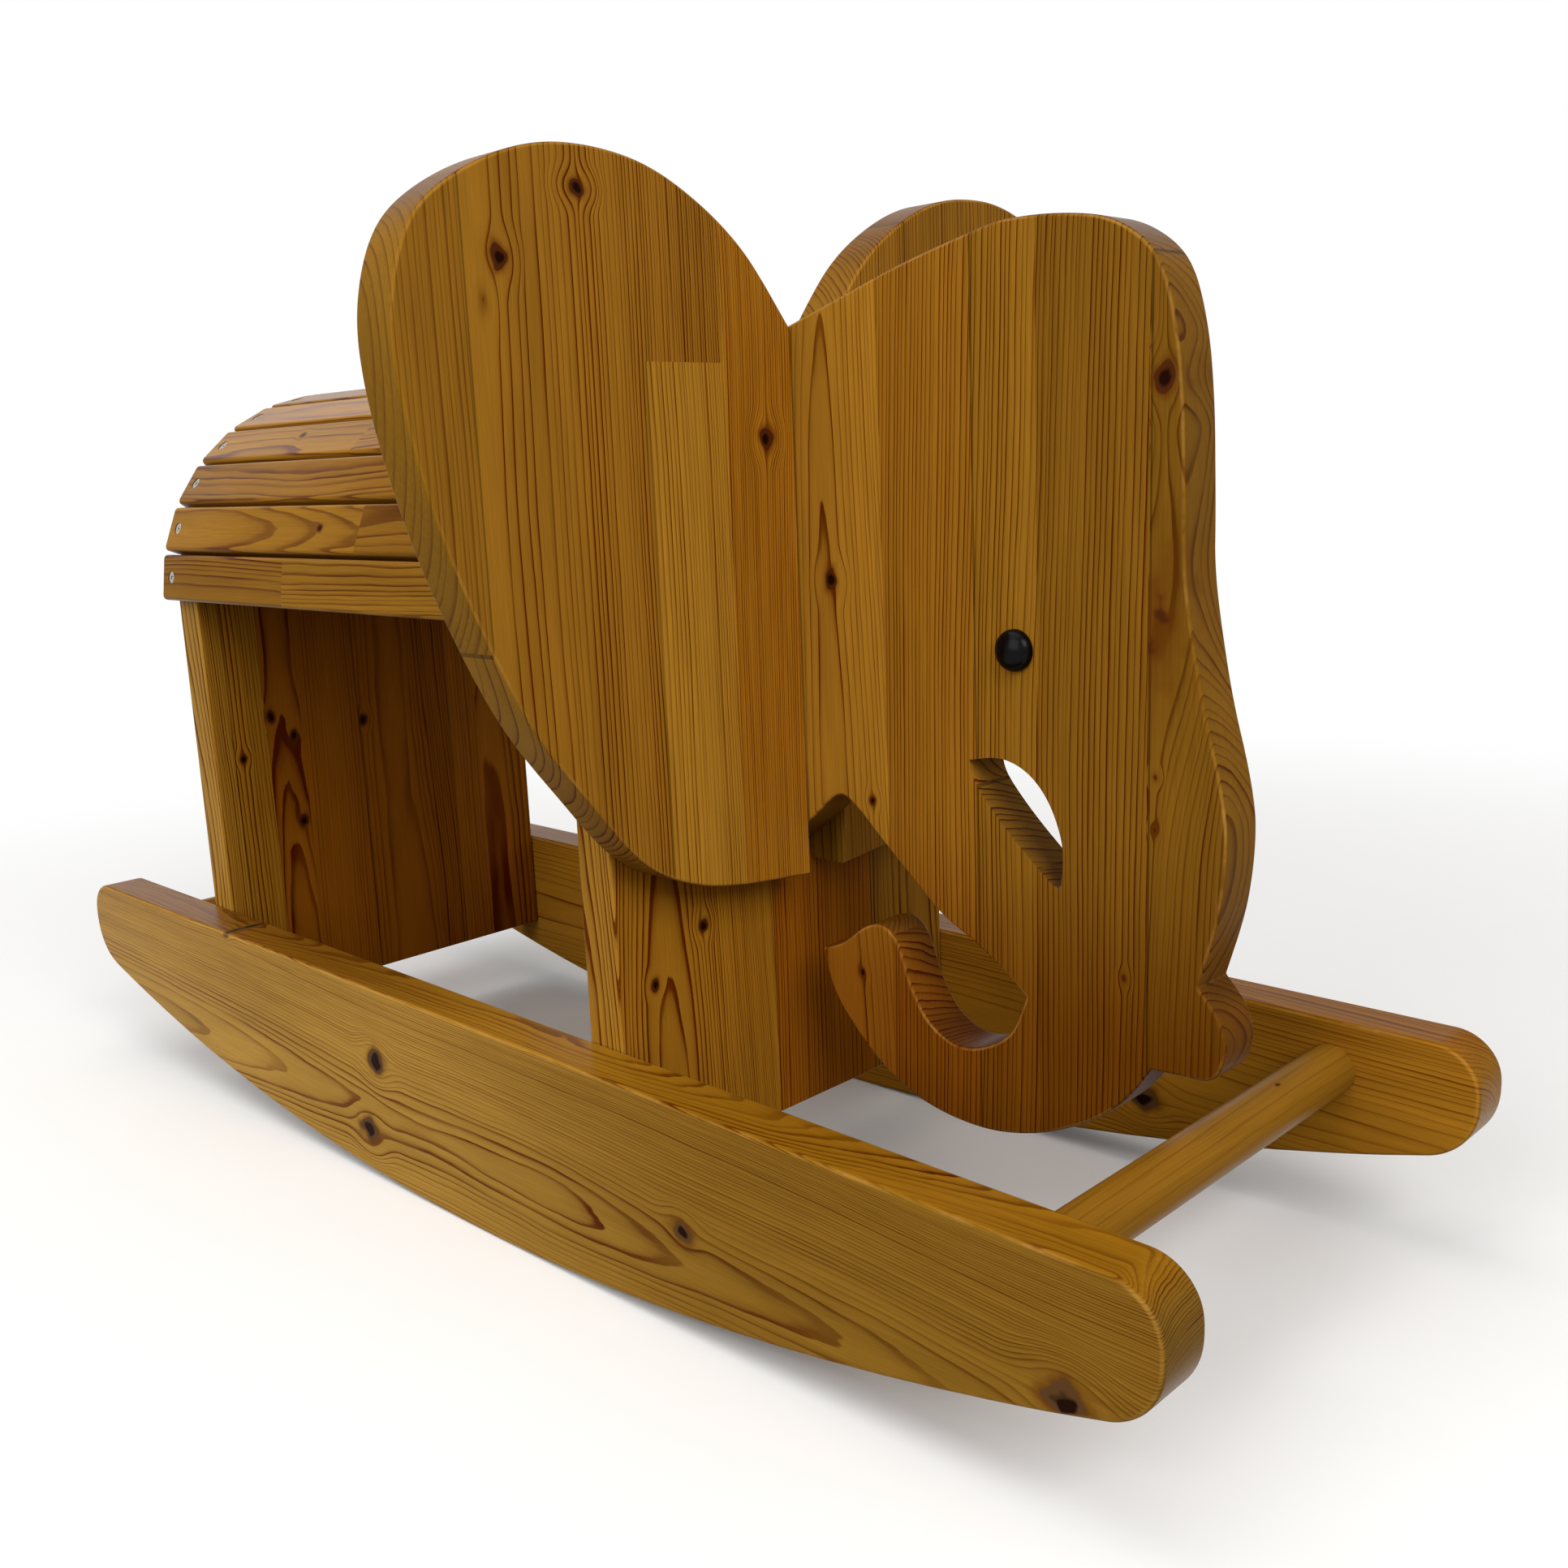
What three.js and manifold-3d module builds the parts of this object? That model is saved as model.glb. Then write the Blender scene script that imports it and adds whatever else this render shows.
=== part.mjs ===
// A wooden rocking elephant for a small child, built from edge-glued pine boards.
// Two curved rockers carry two upright leg panels. Thin slats are screwed over the arched tops
// of the panels and make the saddle. A head plate with a curled trunk and two ear plates are
// fixed to the front panel, and two round bars tie the rockers together.
// Millimetres. X points forward to the trunk, Y to the elephant's left, Z up.
// The pieces are laid out with the rockers' top edges level. The heavy head then tips the whole
// toy a little forward, to the pose in which it stands by itself. There the origin lies on the
// floor, half-way along and across the toy.
import * as THREE from "three";
import { mergeVertices } from "three/addons/utils/BufferGeometryUtils.js";
import Module from "manifold-3d";

const wasm = await Module();
wasm.setup();

// Driving sizes of the rockers and what ties them together.
const overallWidth = 300;
const rockerBoard = 28;
const rockerDepth = 114;
const tipRise = 63.7;
const barToTip = 71;
const barDiameter = 25;
const barSocketDepth = 12;
const rearBarSetback = 73;
const noseDown = THREE.MathUtils.degToRad(1.07);

// Driving sizes of the boards above the rockers.
const panelBoard = 25;
const headBoard = 25;
const earBoard = 25;
const edgeRadius = 3;
const frontPanelX = 110;
const panelSpacing = 400;
const panelFoot = 46.5;
const headLength = 257;
const headHeight = 410;
const trunkClearance = 73.5;
const earTop = 520;
const earHeight = 338;
const earWidth = 217.7;

// Driving sizes of the saddle of slats.
const seatTop = 445;
const slatThickness = 10;
const slatGap = 0.4;
const slatEdge = 2.5;
const slatCount = 13;
const lowSlatAngle = THREE.MathUtils.degToRad(8.4);

// Small parts.
const screwLength = 35;
const screwShank = 3.6;
const screwHead = 7.4;
const screwRim = 0.4;
const screwTip = 5;
const screwSink = 0.4;
const recessDepth = 1.6;
const recessWidth = 1;
const dowelDiameter = 10;
const dowelLength = 36;
const dowelChamfer = 1;
const barChamfer = 1;
const eyeDiameter = 19;
const eyeRise = 7;
const eyeRim = 1;
const eyeStemDiameter = 4;
const eyeStemLength = 8;

// The gap that neighbouring pieces keep, and how far a cut runs past a face.
const fitGap = 0.3;
const overrun = 2;

// How finely round shapes are cut.
const rockerFacets = 30;
const tipSteps = 5;
const slatCornerSteps = 2;
const archSteps = 28;
const fineBevelSteps = 2;
const plainBevelSteps = 1;
const curveSteps = 3;
const barSides = 24;
const dowelSides = 10;
const screwSides = 8;
const eyeSides = 18;
const eyeSteps = 3;

// Places along the toy, worked out from the driving sizes.
const innerHalf = overallWidth / 2 - rockerBoard;
const rockerY = overallWidth / 2 - rockerBoard / 2;
const panelHalf = innerHalf - fitGap;
const panelBackX = frontPanelX - panelBoard / 2;
const panelFaceX = frontPanelX + panelBoard / 2;
const rearPanelX = frontPanelX - panelSpacing;
const headBackX = panelFaceX + fitGap;
const frontBarPlaceShare = 0.935;
const frontBarX = headBackX + headLength * frontBarPlaceShare;
const rearBarX = rearPanelX - rearBarSetback;
const tipFrontX = frontBarX + barToTip;
const tipRearX = rearBarX - barToTip;
const rockerHalf = (tipFrontX - tipRearX) / 2;
const rockerRadius = (rockerHalf ** 2 + tipRise ** 2) / (2 * tipRise);

// The height of the rockers' lower edge at a place along them, before the toy is tipped.
const rockerMiddleX = (tipFrontX + tipRearX) / 2;
const undersideZ = (x) => rockerRadius - Math.sqrt(rockerRadius ** 2 - (x - rockerMiddleX) ** 2);
const barHeightShare = 0.64;
const barZ = (x) => undersideZ(x) + (rockerDepth - undersideZ(x)) * barHeightShare;

// Places of the saddle: its slats lie flat on the arch of the panels.
const archRadius = panelHalf;
const slatSeat = archRadius + fitGap;
const archZ = seatTop - slatThickness - slatSeat;
const slatPitch = (Math.PI - 2 * lowSlatAngle) / (slatCount - 1);
const slatWidth = 2 * slatSeat * Math.tan(slatPitch / 2) - slatGap;
const slatRearX = rearPanelX - panelBoard / 2;
const slatLength = panelFaceX - slatRearX;

const earInnerY = headBoard / 2 + fitGap;
const earBackX = panelFaceX + fitGap;
const earBottom = earTop - earHeight;

// Colours and finishes.
const rockerPine = { color: 0x9a6a20, roughness: 0.42, metalness: 0 };
const panelPine = { color: 0x7c4a14, roughness: 0.42, metalness: 0 };
const headPine = { color: 0x8a5a16, roughness: 0.42, metalness: 0 };
const slatPine = { color: 0xa07a46, roughness: 0.45, metalness: 0 };
const barPine = { color: 0xa2742c, roughness: 0.4, metalness: 0 };
const dowelBeech = { color: 0xc9a06a, roughness: 0.6, metalness: 0 };
const screwSteel = { color: 0xb9b7b0, roughness: 0.3, metalness: 1 };
const eyeBlack = { color: 0x14110f, roughness: 0.25, metalness: 0 };

const elephant = new THREE.Group();

// Adds one named piece to a parent.
function addPiece(parent, name, geometry, finish) {
  const piece = new THREE.Mesh(geometry, new THREE.MeshStandardMaterial(finish));
  piece.name = name;
  parent.add(piece);
  return piece;
}

// A closed geometry as a solid that can be cut.
function toSolid(geometry) {
  const bare = geometry.clone();
  bare.deleteAttribute("normal");
  bare.deleteAttribute("uv");
  const merged = mergeVertices(bare);
  const corners = merged.index.array;
  const kept = [];
  for (let i = 0; i < corners.length; i += 3) {
    const [a, b, c] = [corners[i], corners[i + 1], corners[i + 2]];
    if (a !== b && b !== c && c !== a) kept.push(a, b, c);
  }
  return new wasm.Manifold(
    new wasm.Mesh({
      numProp: 3,
      vertProperties: new Float32Array(merged.attributes.position.array),
      triVerts: new Uint32Array(kept),
    }),
  );
}

// A solid back as a geometry.
function toGeometry(solid) {
  const mesh = solid.getMesh();
  const geometry = new THREE.BufferGeometry();
  geometry.setAttribute("position", new THREE.BufferAttribute(mesh.vertProperties, 3));
  geometry.setIndex(new THREE.BufferAttribute(mesh.triVerts, 1));
  geometry.computeVertexNormals();
  return geometry;
}

// A geometry with each of the cutters taken out of it.
function cut(geometry, cutters) {
  let solid = toSolid(geometry);
  for (const cutter of cutters) solid = solid.subtract(toSolid(cutter));
  return toGeometry(solid);
}

// Boards stand either lengthwise, with their outline in X and Z, or crosswise, in Y and Z.
const alongX = new THREE.Vector3(1, 0, 0);
const alongY = new THREE.Vector3(0, 1, 0);
const alongZ = new THREE.Vector3(0, 0, 1);
const lengthwise = new THREE.Matrix4().makeBasis(alongX, alongZ, alongY.clone().negate());
const crosswise = new THREE.Matrix4().makeBasis(alongY, alongZ, alongX);

// A board with rounded-over edges, centred on its own thickness.
function board(outline, thickness, edge, bevelSteps, turn) {
  const geometry = new THREE.ExtrudeGeometry(outline, {
    depth: thickness - 2 * edge,
    bevelEnabled: true,
    bevelThickness: edge,
    bevelSize: edge,
    bevelOffset: -edge,
    bevelSegments: bevelSteps,
    curveSegments: archSteps,
  });
  geometry.translate(0, 0, edge - thickness / 2);
  return geometry.applyMatrix4(turn);
}

// Points along smooth curves, one after the other, through places given as shares of a box.
// A stretch of two places is straight, and has no points between them.
function outlinePoints(stretches, left, bottom, width, height) {
  const points = [];
  for (const shares of stretches) {
    const places = shares.map(([x, y]) => new THREE.Vector2(left + x * width, bottom + y * height));
    const steps = places.length > 2 ? (places.length - 1) * curveSteps : 1;
    points.push(...new THREE.SplineCurve(places).getPoints(steps).slice(0, -1));
  }
  return points;
}

// The points of an arc about a centre, from one angle to another.
function arcPoints(centreX, centreY, radius, from, to, steps) {
  return Array.from({ length: steps + 1 }, (_, i) => {
    const angle = from + ((to - from) * i) / steps;
    return new THREE.Vector2(
      centreX + radius * Math.cos(angle),
      centreY + radius * Math.sin(angle),
    );
  });
}

// The points of a rounded corner between two straight stretches of an outline.
function cornerPoints(before, corner, after, radius, steps) {
  const inward = before.clone().sub(corner).normalize();
  const onward = after.clone().sub(corner).normalize();
  const half = Math.acos(inward.dot(onward)) / 2;
  const reach = radius / Math.tan(half);
  const middle = inward.clone().add(onward).normalize();
  const centre = corner.clone().addScaledVector(middle, radius / Math.sin(half));
  const start = corner.clone().addScaledVector(inward, reach).sub(centre);
  const sweep = Math.PI - 2 * half;
  return Array.from({ length: steps + 1 }, (_, i) =>
    start.clone().rotateAround(new THREE.Vector2(), (sweep * i) / steps).add(centre),
  );
}

// A rectangle about a point, with two corner radii: one for its top and one for its bottom.
function roundedRectangle(width, height, topRadius, bottomRadius) {
  const corners = [
    new THREE.Vector2(-width / 2, 0),
    new THREE.Vector2(width / 2, 0),
    new THREE.Vector2(width / 2, height),
    new THREE.Vector2(-width / 2, height),
  ];
  const radii = [bottomRadius, bottomRadius, topRadius, topRadius];
  return new THREE.Shape(
    corners.flatMap((corner, i) =>
      cornerPoints(
        corners[(i + 3) % 4],
        corner,
        corners[(i + 1) % 4],
        radii[i],
        slatCornerSteps,
      ),
    ),
  );
}

// A round bar along Y with chamfered ends.
function roundBar(diameter, length, chamfer, sides) {
  const radius = diameter / 2;
  const half = length / 2;
  const profile = [
    new THREE.Vector2(0, -half),
    new THREE.Vector2(radius - chamfer, -half),
    new THREE.Vector2(radius, chamfer - half),
    new THREE.Vector2(radius, half - chamfer),
    new THREE.Vector2(radius - chamfer, half),
    new THREE.Vector2(0, half),
  ];
  return new THREE.LatheGeometry(profile, sides);
}

// A plain drill cut along Y, centred on the origin.
const drill = (diameter, length, sides) =>
  new THREE.CylinderGeometry(diameter / 2, diameter / 2, length, sides);

// The turned shape of a countersunk screw along Z, its head's flat face at zero.
// The grown shape, with a longer head, is what the screw's hole takes out of the wood.
function screwBlank(grow, headReach) {
  const shank = screwShank / 2 + grow;
  const head = screwHead / 2 + grow;
  const cone = screwRim + (screwHead - screwShank) / 2;
  const profile = [
    new THREE.Vector2(0, -screwLength - grow),
    new THREE.Vector2(shank, screwTip - screwLength - grow),
    new THREE.Vector2(shank, -cone),
    new THREE.Vector2(head, -screwRim),
    new THREE.Vector2(head, headReach),
    new THREE.Vector2(0, headReach),
  ];
  return new THREE.LatheGeometry(profile, screwSides).rotateX(Math.PI / 2);
}

// The screw itself, with its cross recess: four like arms, a quarter turn apart.
function screwGeometry() {
  const recessReachShare = 0.31;
  const reach = screwHead * recessReachShare;
  const half = recessWidth / 2;
  const arm = [
    new THREE.Vector2(reach, -half),
    new THREE.Vector2(reach, half),
    new THREE.Vector2(half, half),
  ];
  const quarters = [0, 1, 2, 3].map((i) => (i * Math.PI) / 2 + Math.PI / screwSides);
  const cross = quarters.flatMap((angle) =>
    arm.map((point) => point.clone().rotateAround(new THREE.Vector2(), angle)),
  );
  const tool = new THREE.ExtrudeGeometry(new THREE.Shape(cross), {
    depth: recessDepth + overrun,
    bevelEnabled: false,
  });
  return cut(screwBlank(0, 0), [tool.translate(0, 0, -recessDepth)]);
}
const screwHole = screwBlank(fitGap, screwSink + overrun);

// Where a screw's head sits and which way it points, as a matrix. A slat's screws point at the
// middle of the arch.
const slatTurn = (i) => new THREE.Matrix4()
  .makeRotationX(slatPitch * ((slatCount - 1) / 2 - i))
  .setPosition(0, 0, archZ);
const slatScrewPlace = (i, x) => slatTurn(i).multiply(
  new THREE.Matrix4().makeTranslation(x, 0, slatSeat + slatThickness - screwSink),
);

// The screws that hold the head and the ears run forward through the front panel. They stay
// inside the circle on which the slats' screws end, and the head's stay where its back edge
// meets the panel.
const slatScrewEndRadius = slatSeat + slatThickness - screwSink - screwLength;
const jointRadius = slatScrewEndRadius - screwHead;
const headBackBottomShare = 0.29;
const headBackTopShare = 0.906;
const headJointBottom = trunkClearance + headHeight * headBackBottomShare;
const headJointTop = Math.min(
  trunkClearance + headHeight * headBackTopShare,
  archZ + jointRadius,
);
const headScrewShares = { lower: 0.2, upper: 0.95 };
const earScrewRiseShares = { lower: -0.52, upper: 0.6 };
const earScrewOutShare = 0.8;
const forwardScrews = [
  ...Object.entries(headScrewShares).map(([level, share]) => ({
    name: `head_${level}_screw`,
    y: 0,
    z: headJointBottom + (headJointTop - headJointBottom) * share,
  })),
  ...[["right", -1], ["left", 1]].flatMap(([side, sign]) =>
    Object.entries(earScrewRiseShares).map(([level, share]) => ({
      name: `${side}_ear_${level}_screw`,
      y: sign * jointRadius * earScrewOutShare,
      z: archZ + jointRadius * share,
    })),
  ),
];
const forwardScrewPlace = ({ y, z }) => new THREE.Matrix4()
  .makeRotationY(-Math.PI / 2)
  .setPosition(panelBackX + screwSink, y, z);

// The dowel that joins a panel's edge to a rocker.
const dowelZ = (panelFoot + rockerDepth) / 2;
const dowelY = innerHalf;

// A rocker: straight on top, one long arc below and rounded tips. The arc is cut in short flats,
// and the toy stands level on the one that noseDown turns to the floor.
function rockerOutline() {
  const step = (2 * Math.asin(rockerHalf / rockerRadius)) / rockerFacets;
  const cutRadius = rockerRadius / Math.cos(step / 2);
  const tipTopRadiusShare = 0.44;
  const tipBottomRadiusShare = 0.63;
  const keepClearShare = 0.8;
  const frontLow = new THREE.Vector2(tipFrontX, undersideZ(tipFrontX));
  const rearLow = new THREE.Vector2(tipRearX, undersideZ(tipRearX));
  const frontTop = new THREE.Vector2(tipFrontX, rockerDepth);
  const rearTop = new THREE.Vector2(tipRearX, rockerDepth);
  const frontDepth = rockerDepth - frontLow.y;
  const rearDepth = rockerDepth - rearLow.y;
  const under = [];
  for (let i = -rockerFacets; i < rockerFacets; i += 1) {
    const angle = noseDown + (i + 1 / 2) * step;
    const point = new THREE.Vector2(
      rockerMiddleX + cutRadius * Math.sin(angle),
      rockerRadius - cutRadius * Math.cos(angle),
    );
    const inFront = point.x < tipFrontX - frontDepth * tipBottomRadiusShare * keepClearShare;
    const behind = point.x > tipRearX + rearDepth * tipBottomRadiusShare * keepClearShare;
    if (inFront && behind) under.push(point);
  }
  const last = under[under.length - 1];
  return new THREE.Shape([
    ...under,
    ...cornerPoints(last, frontLow, frontTop, frontDepth * tipBottomRadiusShare, tipSteps),
    ...cornerPoints(frontLow, frontTop, rearTop, frontDepth * tipTopRadiusShare, tipSteps),
    ...cornerPoints(frontTop, rearTop, rearLow, rearDepth * tipTopRadiusShare, tipSteps),
    ...cornerPoints(rearTop, rearLow, under[0], rearDepth * tipBottomRadiusShare, tipSteps),
  ]);
}

// The two rockers, with blind sockets for the bars and the dowels in their inner faces.
function addRockers() {
  const dowelInRocker = dowelLength / 2 + fitGap;
  for (const [side, sign] of [["right", -1], ["left", 1]]) {
    const sockets = [frontBarX, rearBarX].map((x) =>
      drill(barDiameter + 2 * fitGap, 2 * barSocketDepth, barSides)
        .translate(x, -sign * rockerBoard / 2, barZ(x)),
    );
    const dowelHoles = [frontPanelX, rearPanelX].map((x) =>
      drill(dowelDiameter + 2 * fitGap, 2 * dowelInRocker, dowelSides)
        .translate(x, -sign * rockerBoard / 2, dowelZ),
    );
    const plank = board(rockerOutline(), rockerBoard, edgeRadius, fineBevelSteps, lengthwise);
    const rocker = cut(plank, [...sockets, ...dowelHoles]);
    addPiece(elephant, `${side}_rocker`, rocker, rockerPine).position.y = sign * rockerY;
  }
}

// The two round bars between the rockers.
function addCrossbars() {
  const length = 2 * (innerHalf + barSocketDepth - fitGap);
  for (const [place, x] of [["front", frontBarX], ["rear", rearBarX]]) {
    const bar = roundBar(barDiameter, length, barChamfer, barSides);
    addPiece(elephant, `${place}_crossbar`, bar, barPine).position.set(x, 0, barZ(x));
  }
}

// A leg panel: a broad board with straight sides and a half-round top.
function panelOutline() {
  return new THREE.Shape([
    new THREE.Vector2(-panelHalf, panelFoot),
    new THREE.Vector2(panelHalf, panelFoot),
    ...arcPoints(0, archZ, archRadius, 0, Math.PI, archSteps),
  ]);
}

// The holes in a panel's edges: one for each slat's screw and one for each dowel.
function panelEdgeHoles(x) {
  const screwHoles = Array.from({ length: slatCount }, (_, i) =>
    screwHole.clone().applyMatrix4(slatScrewPlace(i, x)),
  );
  const dowelHoles = [-1, 1].map((sign) =>
    drill(dowelDiameter + 2 * fitGap, dowelLength + 2 * fitGap, dowelSides)
      .translate(x, sign * dowelY, dowelZ),
  );
  return [...screwHoles, ...dowelHoles];
}

function addPanels() {
  const plank = board(panelOutline(), panelBoard, edgeRadius, plainBevelSteps, crosswise);
  const front = plank.clone().translate(frontPanelX, 0, 0);
  const rear = plank.clone().translate(rearPanelX, 0, 0);
  const forwardHoles = forwardScrews.map((screw) =>
    screwHole.clone().applyMatrix4(forwardScrewPlace(screw)),
  );
  const frontCut = cut(front, [...panelEdgeHoles(frontPanelX), ...forwardHoles]);
  addPiece(elephant, "front_leg_panel", frontCut, panelPine);
  addPiece(elephant, "rear_leg_panel", cut(rear, panelEdgeHoles(rearPanelX)), panelPine);
}

function addDowels() {
  for (const [side, sign] of [["right", -1], ["left", 1]]) {
    for (const [place, x] of [["front", frontPanelX], ["rear", rearPanelX]]) {
      const dowel = roundBar(dowelDiameter, dowelLength, dowelChamfer, dowelSides);
      const piece = addPiece(elephant, `${side}_${place}_dowel`, dowel, dowelBeech);
      piece.position.set(x, sign * dowelY, dowelZ);
    }
  }
}

// The saddle: each slat lies flat on both arches and is held by a screw at either end.
function addSaddle() {
  const slatInnerEdgeShare = 0.4;
  const section = roundedRectangle(
    slatWidth,
    slatThickness,
    slatEdge,
    slatEdge * slatInnerEdgeShare,
  );
  const screw = screwGeometry();
  const middleX = slatRearX + slatLength / 2;
  const slatEndEdgeShare = 0.3;
  const endEdge = slatEdge * slatEndEdgeShare;
  const slat = board(section, slatLength, endEdge, plainBevelSteps, crosswise)
    .translate(middleX, 0, slatSeat);
  const headZ = slatSeat + slatThickness - screwSink;
  const ends = [["front", frontPanelX], ["rear", rearPanelX]];
  const holes = ends.map(([, x]) => screwHole.clone().translate(x, 0, headZ));
  const drilled = cut(slat, holes);
  for (let i = 0; i < slatCount; i += 1) {
    const number = String(i + 1).padStart(2, "0");
    const station = new THREE.Group();
    station.applyMatrix4(slatTurn(i));
    elephant.add(station);
    addPiece(station, `seat_slat_${number}`, drilled, slatPine);
    for (const [place, x] of ends) {
      const piece = addPiece(station, `${place}_slat_screw_${number}`, screw, screwSteel);
      piece.position.set(x, 0, headZ);
    }
  }
}

// The outline of the head plate, from the top of its back edge over the brow, down the front of
// the trunk, round its curl and back along the throat. Shares of the head's length and height.
const browAndTrunkShares = [
  [0, headBackTopShare], [0.202, 0.943], [0.363, 0.972], [0.52, 0.994], [0.59, 1],
  [0.7, 0.996], [0.79, 0.982], [0.862, 0.946], [0.896, 0.886], [0.911, 0.808],
  [0.916, 0.713], [0.92, 0.636], [0.949, 0.53], [0.984, 0.443], [0.996, 0.385],
  [0.984, 0.309], [0.949, 0.231],
];
const lobeShares = [
  [0.949, 0.231], [0.984, 0.205], [1, 0.176], [0.99, 0.146], [0.965, 0.133],
  [0.92, 0.131], [0.864, 0.129],
];
const curlUndersideShares = [
  [0.864, 0.129], [0.812, 0.085], [0.735, 0.046], [0.62, 0.013], [0.5, 0],
  [0.37, 0.01], [0.262, 0.044], [0.176, 0.095], [0.139, 0.132], [0.121, 0.173],
];
const curlTipShares = [
  [0.121, 0.173], [0.172, 0.185], [0.235, 0.213], [0.281, 0.219], [0.318, 0.199],
  [0.346, 0.154], [0.386, 0.115], [0.446, 0.095], [0.51, 0.1], [0.576, 0.127],
  [0.612, 0.175],
];
const throatShares = [
  [0.612, 0.175], [0.57, 0.196], [0.495, 0.226], [0.416, 0.253], [0.289, 0.322],
  [0.214, 0.363], [0.17, 0.37], [0.096, 0.333], [0, headBackBottomShare],
];

// The mouth is a leaf-shaped hole that slopes down and forward.
const mouthUpperShares = [
  [0.494, 0.436], [0.56, 0.442], [0.618, 0.43], [0.663, 0.4], [0.69, 0.355],
  [0.688, 0.312],
];
const mouthLowerShares = [
  [0.688, 0.312], [0.672, 0.31], [0.6, 0.348], [0.542, 0.384], [0.505, 0.413],
  [0.494, 0.436],
];
const eyeXShare = 0.597;
const eyeZShare = 0.562;
const eyeX = headBackX + headLength * eyeXShare;
const eyeZ = trunkClearance + headHeight * eyeZShare;

const traceHead = (stretches) =>
  outlinePoints(stretches, headBackX, trunkClearance, headLength, headHeight);

// The tool that cuts the mouth through the head plate.
function mouthCutter() {
  const depth = headBoard + 2 * overrun;
  const mouth = new THREE.Shape(traceHead([mouthUpperShares, mouthLowerShares]));
  return new THREE.ExtrudeGeometry(mouth, { depth, bevelEnabled: false })
    .translate(0, 0, -depth / 2)
    .applyMatrix4(lengthwise);
}

function addHead() {
  const backEdge = [throatShares[throatShares.length - 1], browAndTrunkShares[0]];
  const outline = traceHead([
    browAndTrunkShares,
    lobeShares,
    curlUndersideShares,
    curlTipShares,
    throatShares,
    backEdge,
  ]);
  const shape = new THREE.Shape(outline);
  const plate = board(shape, headBoard, edgeRadius, fineBevelSteps, lengthwise);
  const stemHoles = [-1, 1].map((sign) =>
    drill(eyeStemDiameter + 2 * fitGap, 2 * (eyeStemLength + fitGap), dowelSides)
      .translate(eyeX, (sign * headBoard) / 2, eyeZ),
  );
  const screwHoles = forwardScrews
    .filter((screw) => screw.name.startsWith("head"))
    .map((screw) => screwHole.clone().applyMatrix4(forwardScrewPlace(screw)));
  const cutters = [mouthCutter(), ...stemHoles, ...screwHoles];
  addPiece(elephant, "head_plate", cut(plate, cutters), headPine);
}

// An eye: a low black dome with a stem in the head plate.
function addEyes() {
  const profile = [
    new THREE.Vector2(0, -eyeStemLength),
    new THREE.Vector2(eyeStemDiameter / 2, -eyeStemLength),
    new THREE.Vector2(eyeStemDiameter / 2, 0),
    new THREE.Vector2(eyeDiameter / 2, 0),
    ...Array.from({ length: eyeSteps + 1 }, (_, i) => {
      const angle = (Math.PI / 2) * (i / eyeSteps);
      const radius = i < eyeSteps ? (eyeDiameter / 2) * Math.cos(angle) : 0;
      return new THREE.Vector2(radius, eyeRim + (eyeRise - eyeRim) * Math.sin(angle));
    }),
  ];
  const dome = new THREE.LatheGeometry(profile, eyeSides);
  for (const [side, sign] of [["right", -1], ["left", 1]]) {
    const eye = addPiece(elephant, `${side}_eye`, dome, eyeBlack);
    eye.position.set(eyeX, sign * (headBoard / 2 + fitGap), eyeZ);
    eye.rotation.x = sign > 0 ? 0 : Math.PI;
  }
}

// The outline of an ear, from its lower inner corner round to the top of its inner edge.
// Shares of the ear's width and height.
const earShares = [
  [0, 0.001], [0.217, 0.015], [0.364, 0.037], [0.497, 0.084], [0.63, 0.182],
  [0.768, 0.303], [0.887, 0.463], [0.961, 0.607], [0.998, 0.734], [0.99, 0.822],
  [0.938, 0.899], [0.837, 0.951], [0.7, 0.988], [0.561, 1], [0.401, 0.988],
  [0.254, 0.948], [0.125, 0.888], [0, 0.793],
];

function addEars() {
  const points = outlinePoints(
    [earShares, [earShares[earShares.length - 1], earShares[0]]],
    earInnerY,
    earBottom,
    earWidth,
    earHeight,
  );
  for (const [side, sign] of [["right", -1], ["left", 1]]) {
    const outline = new THREE.Shape(points.map((p) => new THREE.Vector2(sign * p.x, p.y)));
    const plate = board(outline, earBoard, edgeRadius, fineBevelSteps, crosswise)
      .translate(earBackX + earBoard / 2, 0, 0);
    const holes = forwardScrews
      .filter((screw) => screw.name.startsWith(side))
      .map((screw) => screwHole.clone().applyMatrix4(forwardScrewPlace(screw)));
    addPiece(elephant, `${side}_ear`, cut(plate, holes), headPine);
  }
}

function addForwardScrews() {
  for (const screw of forwardScrews) {
    const piece = addPiece(elephant, screw.name, screwGeometry(), screwSteel);
    piece.applyMatrix4(forwardScrewPlace(screw));
  }
}

addRockers();
addCrossbars();
addPanels();
addDowels();
addSaddle();
addHead();
addEyes();
addEars();
addForwardScrews();

// The toy rolls forward on its arcs, about their common centre, until its weight is over the
// floor contact. It is then moved so that its tips lie as far in front of the origin as behind.
const tipMiddleZ = (tipRise + rockerDepth) / 2;
const rollBackX = (rockerRadius - tipMiddleZ) * Math.sin(noseDown);
elephant.applyMatrix4(new THREE.Matrix4().makeTranslation(-rockerMiddleX, 0, -rockerRadius));
elephant.applyMatrix4(new THREE.Matrix4().makeRotationY(noseDown));
elephant.applyMatrix4(new THREE.Matrix4().makeTranslation(rollBackX, 0, rockerRadius));

export default elephant;
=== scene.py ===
"""A wooden rocking elephant, dressed over its fixed frame.

Every board is cut afresh from the outline of its frame node, with rounded-over edges, and gets
a solid pine that runs through it: growth rings round a pith, knots, glued staves, lacquer.
Boards are laid out level, with the rockers' top edges flat, and then tipped into the stance in
which the toy stands by itself.
"""

import math

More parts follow.
